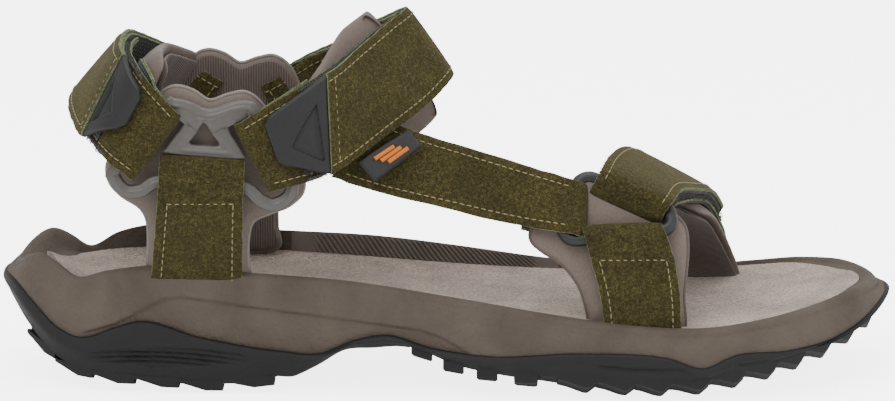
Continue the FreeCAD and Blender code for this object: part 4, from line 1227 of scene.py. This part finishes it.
rim = sidePanel("lateralToePad", toePadEdge, (58.0, 45.0), toeFace, 4.6, -1, [padCloth],
                       "lateral_toe_pad")
tubeAlong(np.column_stack([rim[:, 0], toeFace(rim[:, 0], rim[:, 1]), rim[:, 1]]), 0.7,
          "lateralToePiping", pipingCloth, closedLoop=True)
print("side panels ready")


labelCorners = np.array([(-29.6, -33.2, 77.1), (-12.7, -27.2, 86.5), (-8.2, -29.0, 81.4),
                         (-23.8, -35.3, 70.6)])


def makeLabel():
    # Flat woven tag with folded edges, and three plain bars woven on it.
    a, b, c, d = labelCorners
    u = np.linspace(0, 1, 30)[:, None, None]
    v = np.linspace(0, 1, 18)[None, :, None]
    base = (a * (1 - v) + d * v) * (1 - u) + (b * (1 - v) + c * v) * u
    out = unit(np.cross(b - a, d - a))
    if out[1] > 0:
        out = -out
    edge = np.minimum(np.minimum(u, 1 - u) * 22, np.minimum(v, 1 - v) * 9)[..., 0]
    height = 1.2 * np.sqrt(np.clip(1 - (1 - np.clip(edge / 0.8, 0, 1)) ** 2, 0, 1))
    front = base + out * height[..., None]
    loop = np.concatenate([front, (base - out * 0.1)[:, ::-1]], axis=1)
    tag = makeObject("instepTag", loop, tubeGrid(loop), [labelCloth], sharp=60)
    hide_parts("label")
    bars = []
    for v0, u0, u1 in ((0.3, 0.24, 0.62), (0.5, 0.3, 0.7), (0.7, 0.38, 0.78)):
        start = a * (1 - v0) + d * v0
        end = b * (1 - v0) + c * v0
        t = np.linspace(u0, u1, 14)[:, None]
        bars.append(start * (1 - t) + end * t + out * 1.22)
    for k, line in enumerate(bars):
        tubeAlong(line, 0.75, "instepTagBar%d" % (k + 1), orangeMark, sides=10)


makeLabel()


bracket = dict(rail=4.6, thick=2.6, ridge=0.5)
bracketEdge = np.array([
    (-93.1, 97.4), (-88.2, 98.8), (-83.2, 97.6), (-77.6, 95.4), (-70.0, 97.6), (-64.9, 98.0),
    (-60.8, 94.9), (-49.6, 75.5), (-48.4, 70.0), (-50.5, 64.8), (-56.4, 61.8), (-62.0, 63.6),
    (-67.5, 67.6), (-80.5, 68.6), (-93.5, 69.4), (-99.0, 66.6), (-105.5, 66.4), (-110.2, 71.2),
    (-110.0, 77.4)])
centrePlate = np.array([
    (-92.8, 96.8), (-91.5, 98.6), (-88.9, 99.0), (-86.3, 97.8), (-82.7, 95.0), (-79.0, 93.8),
    (-75.3, 94.4), (-72.1, 96.6), (-68.4, 97.6), (-65.3, 96.6), (-64.2, 93.2), (-68.0, 91.6),
    (-70.6, 90.2), (-70.4, 87.6), (-66.4, 81.2), (-66.8, 78.9), (-79.2, 79.6), (-91.8, 81.0),
    (-91.6, 83.0), (-89.0, 86.4), (-86.2, 90.2), (-86.5, 92.4), (-88.9, 94.0), (-91.2, 95.0)])
centreWindow = np.array([(-79.2, 90.6), (-81.4, 87.4), (-83.6, 84.2), (-79.0, 83.6), (-74.6, 83.8),
                         (-77.0, 87.4)])


def ringPlate(name, outer, inner, place, node):
    # Strip between two outlines: rounded edges, and a raised ridge along its middle.
    u = 0.5 - 0.5 * np.cos(np.linspace(0, math.pi, 17))
    height = bracket["thick"] / 2 * np.sqrt(np.clip(1 - np.abs(2 * u - 1) ** 5, 0, 1))
    ridge = bracket["ridge"] * np.exp(-((u - 0.5) / 0.13) ** 2)
    flat = outer[:, None] * (1 - u[None, :, None]) + inner[:, None] * u[None, :, None]
    front = place(flat, height + ridge)
    back = place(flat, -height)
    loop = np.concatenate([front, back[:, ::-1][:, 1:-1]], axis=1)
    faces = gridFaces(loop.shape[0], loop.shape[1], closeRows=True, closeColumns=True)
    obj = makeObject(name, loop, faces, [bracketPlastic], sharp=60)
    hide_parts(node)


def makeBracket(label, plane, forward, sign):
    def place(flat, height):
        x, z = flat[..., 0] + forward, flat[..., 1]
        y = plane - sign * ankle["lean"] * (z - ankle["mid"]) + sign * height[None, :]
        return np.stack([x, y, z], -1)

    node = label + "_ankle_bracket"
    outer = closedCurve(bracketEdge, 300)
    tangent = np.roll(outer, -1, 0) - np.roll(outer, 1, 0)
    inward = unit(np.stack([tangent[:, 1], -tangent[:, 0]], 1))
    if np.einsum("ij,ij->", inward, outer - outer.mean(0)) > 0:
        inward = -inward
    ringPlate(label + "BracketRail", outer, outer + inward * bracket["rail"], place, node)
    plate = closedCurve(centrePlate, 300)
    window = closedCurve(centreWindow, 300)
    centre = centreWindow.mean(0)
    spin = np.arctan2(window[:, 1] - centre[1], window[:, 0] - centre[0])
    order = np.argsort(spin)
    reach = np.linalg.norm(window - centre, axis=1)[order]
    turn = np.arctan2(plate[:, 1] - centre[1], plate[:, 0] - centre[0])
    radius = np.interp(turn, spin[order], reach, period=2 * math.pi)
    hole = centre + np.stack([np.cos(turn), np.sin(turn)], 1) * radius[:, None]
    ringPlate(label + "BracketCentre", plate, hole, place, node)


makeBracket("lateral", ankle["lateral"], 0.0, -1)
makeBracket("medial", ankle["medial"], ankle["forward"], 1)


def finishNode(name, material):
    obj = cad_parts[name]
    obj = obj if hasattr(obj, "data") else bpy.data.objects[name]
    obj.data.materials.clear()
    obj.data.materials.append(material)
    obj.data.polygons.foreach_set("use_smooth", np.ones(len(obj.data.polygons), dtype=bool))
    obj.data.set_sharp_from_angle(angle=math.radians(35))


finishNode("forefoot_ring", ringPlastic)
finishNode("shank", shankNylon)
print("plastic parts ready")


studio = dict(distance=1.5, elevation=12.0, aim=(0.0, 0.0, 0.0569), lens=180.1,
              floorGlow=3.9, floorLight=0.3, worldLight=1.15)


def makeStudio():
    camera = bpy.data.cameras.new("camera")
    camera.lens = studio["lens"]
    camera.sensor_width = 36.0
    camera.clip_start = 0.01
    camera.clip_end = 50
    holder = bpy.data.objects.new("camera", camera)
    bpy.context.scene.collection.objects.link(holder)
    tilt = math.radians(studio["elevation"])
    aim = studio["aim"]
    holder.location = (aim[0], aim[1] - studio["distance"] * math.cos(tilt),
                       aim[2] + studio["distance"] * math.sin(tilt))
    holder.rotation_euler = (math.pi / 2 - tilt, 0, 0)
    bpy.context.scene.camera = holder

    size = 6.0
    mesh = bpy.data.meshes.new("floor")
    mesh.from_pydata([(-size, -size, 0), (size, -size, 0), (size, size, 0), (-size, size, 0)], [],
                     [(0, 1, 2, 3)])
    floor = bpy.data.objects.new("floor", mesh)
    material, nodes, links, shader = newMaterial("paleFloor")
    soft = noiseNode(nodes, links, objectCoords(nodes), 3.0, 2.0)
    links.new(rampNode(nodes, links, soft, [(0.3, (0.90, 0.90, 0.90)), (0.7, (0.92, 0.92, 0.92))]),
              shader.inputs["Base Color"])
    shader.inputs["Roughness"].default_value = 0.9
    shader.inputs["Emission Color"].default_value = (1, 1, 1, 1)
    seen = nodes.new("ShaderNodeLightPath").outputs["Is Camera Ray"]
    glow = mathNode(nodes, links, "MULTIPLY", seen, studio["floorGlow"])
    links.new(mathNode(nodes, links, "ADD", glow, studio["floorLight"]),
              shader.inputs["Emission Strength"])
    mesh.materials.append(material)
    bpy.context.scene.collection.objects.link(floor)

    world = bpy.data.worlds.new("studio")
    world.use_nodes = True
    world.node_tree.nodes["Background"].inputs["Color"].default_value = (1, 1, 1, 1)
    world.node_tree.nodes["Background"].inputs["Strength"].default_value = studio["worldLight"]
    bpy.context.scene.world = world
    for name, place, turn, power, width in (
            ("keyLight", (-0.5, -1.0, 1.3), (42, 0, -26), 14, 0.9),
            ("topLight", (0.1, 0.1, 1.5), (0, 0, 0), 14, 1.2),
            ("fillLight", (1.1, -0.7, 0.7), (62, 0, 58), 5, 0.8)):
        light = bpy.data.lights.new(name, "AREA")
        light.energy = power
        light.size = width
        lamp = bpy.data.objects.new(name, light)
        lamp.location = place
        lamp.rotation_euler = tuple(math.radians(v) for v in turn)
        bpy.context.scene.collection.objects.link(lamp)


makeStudio()
print("studio ready")
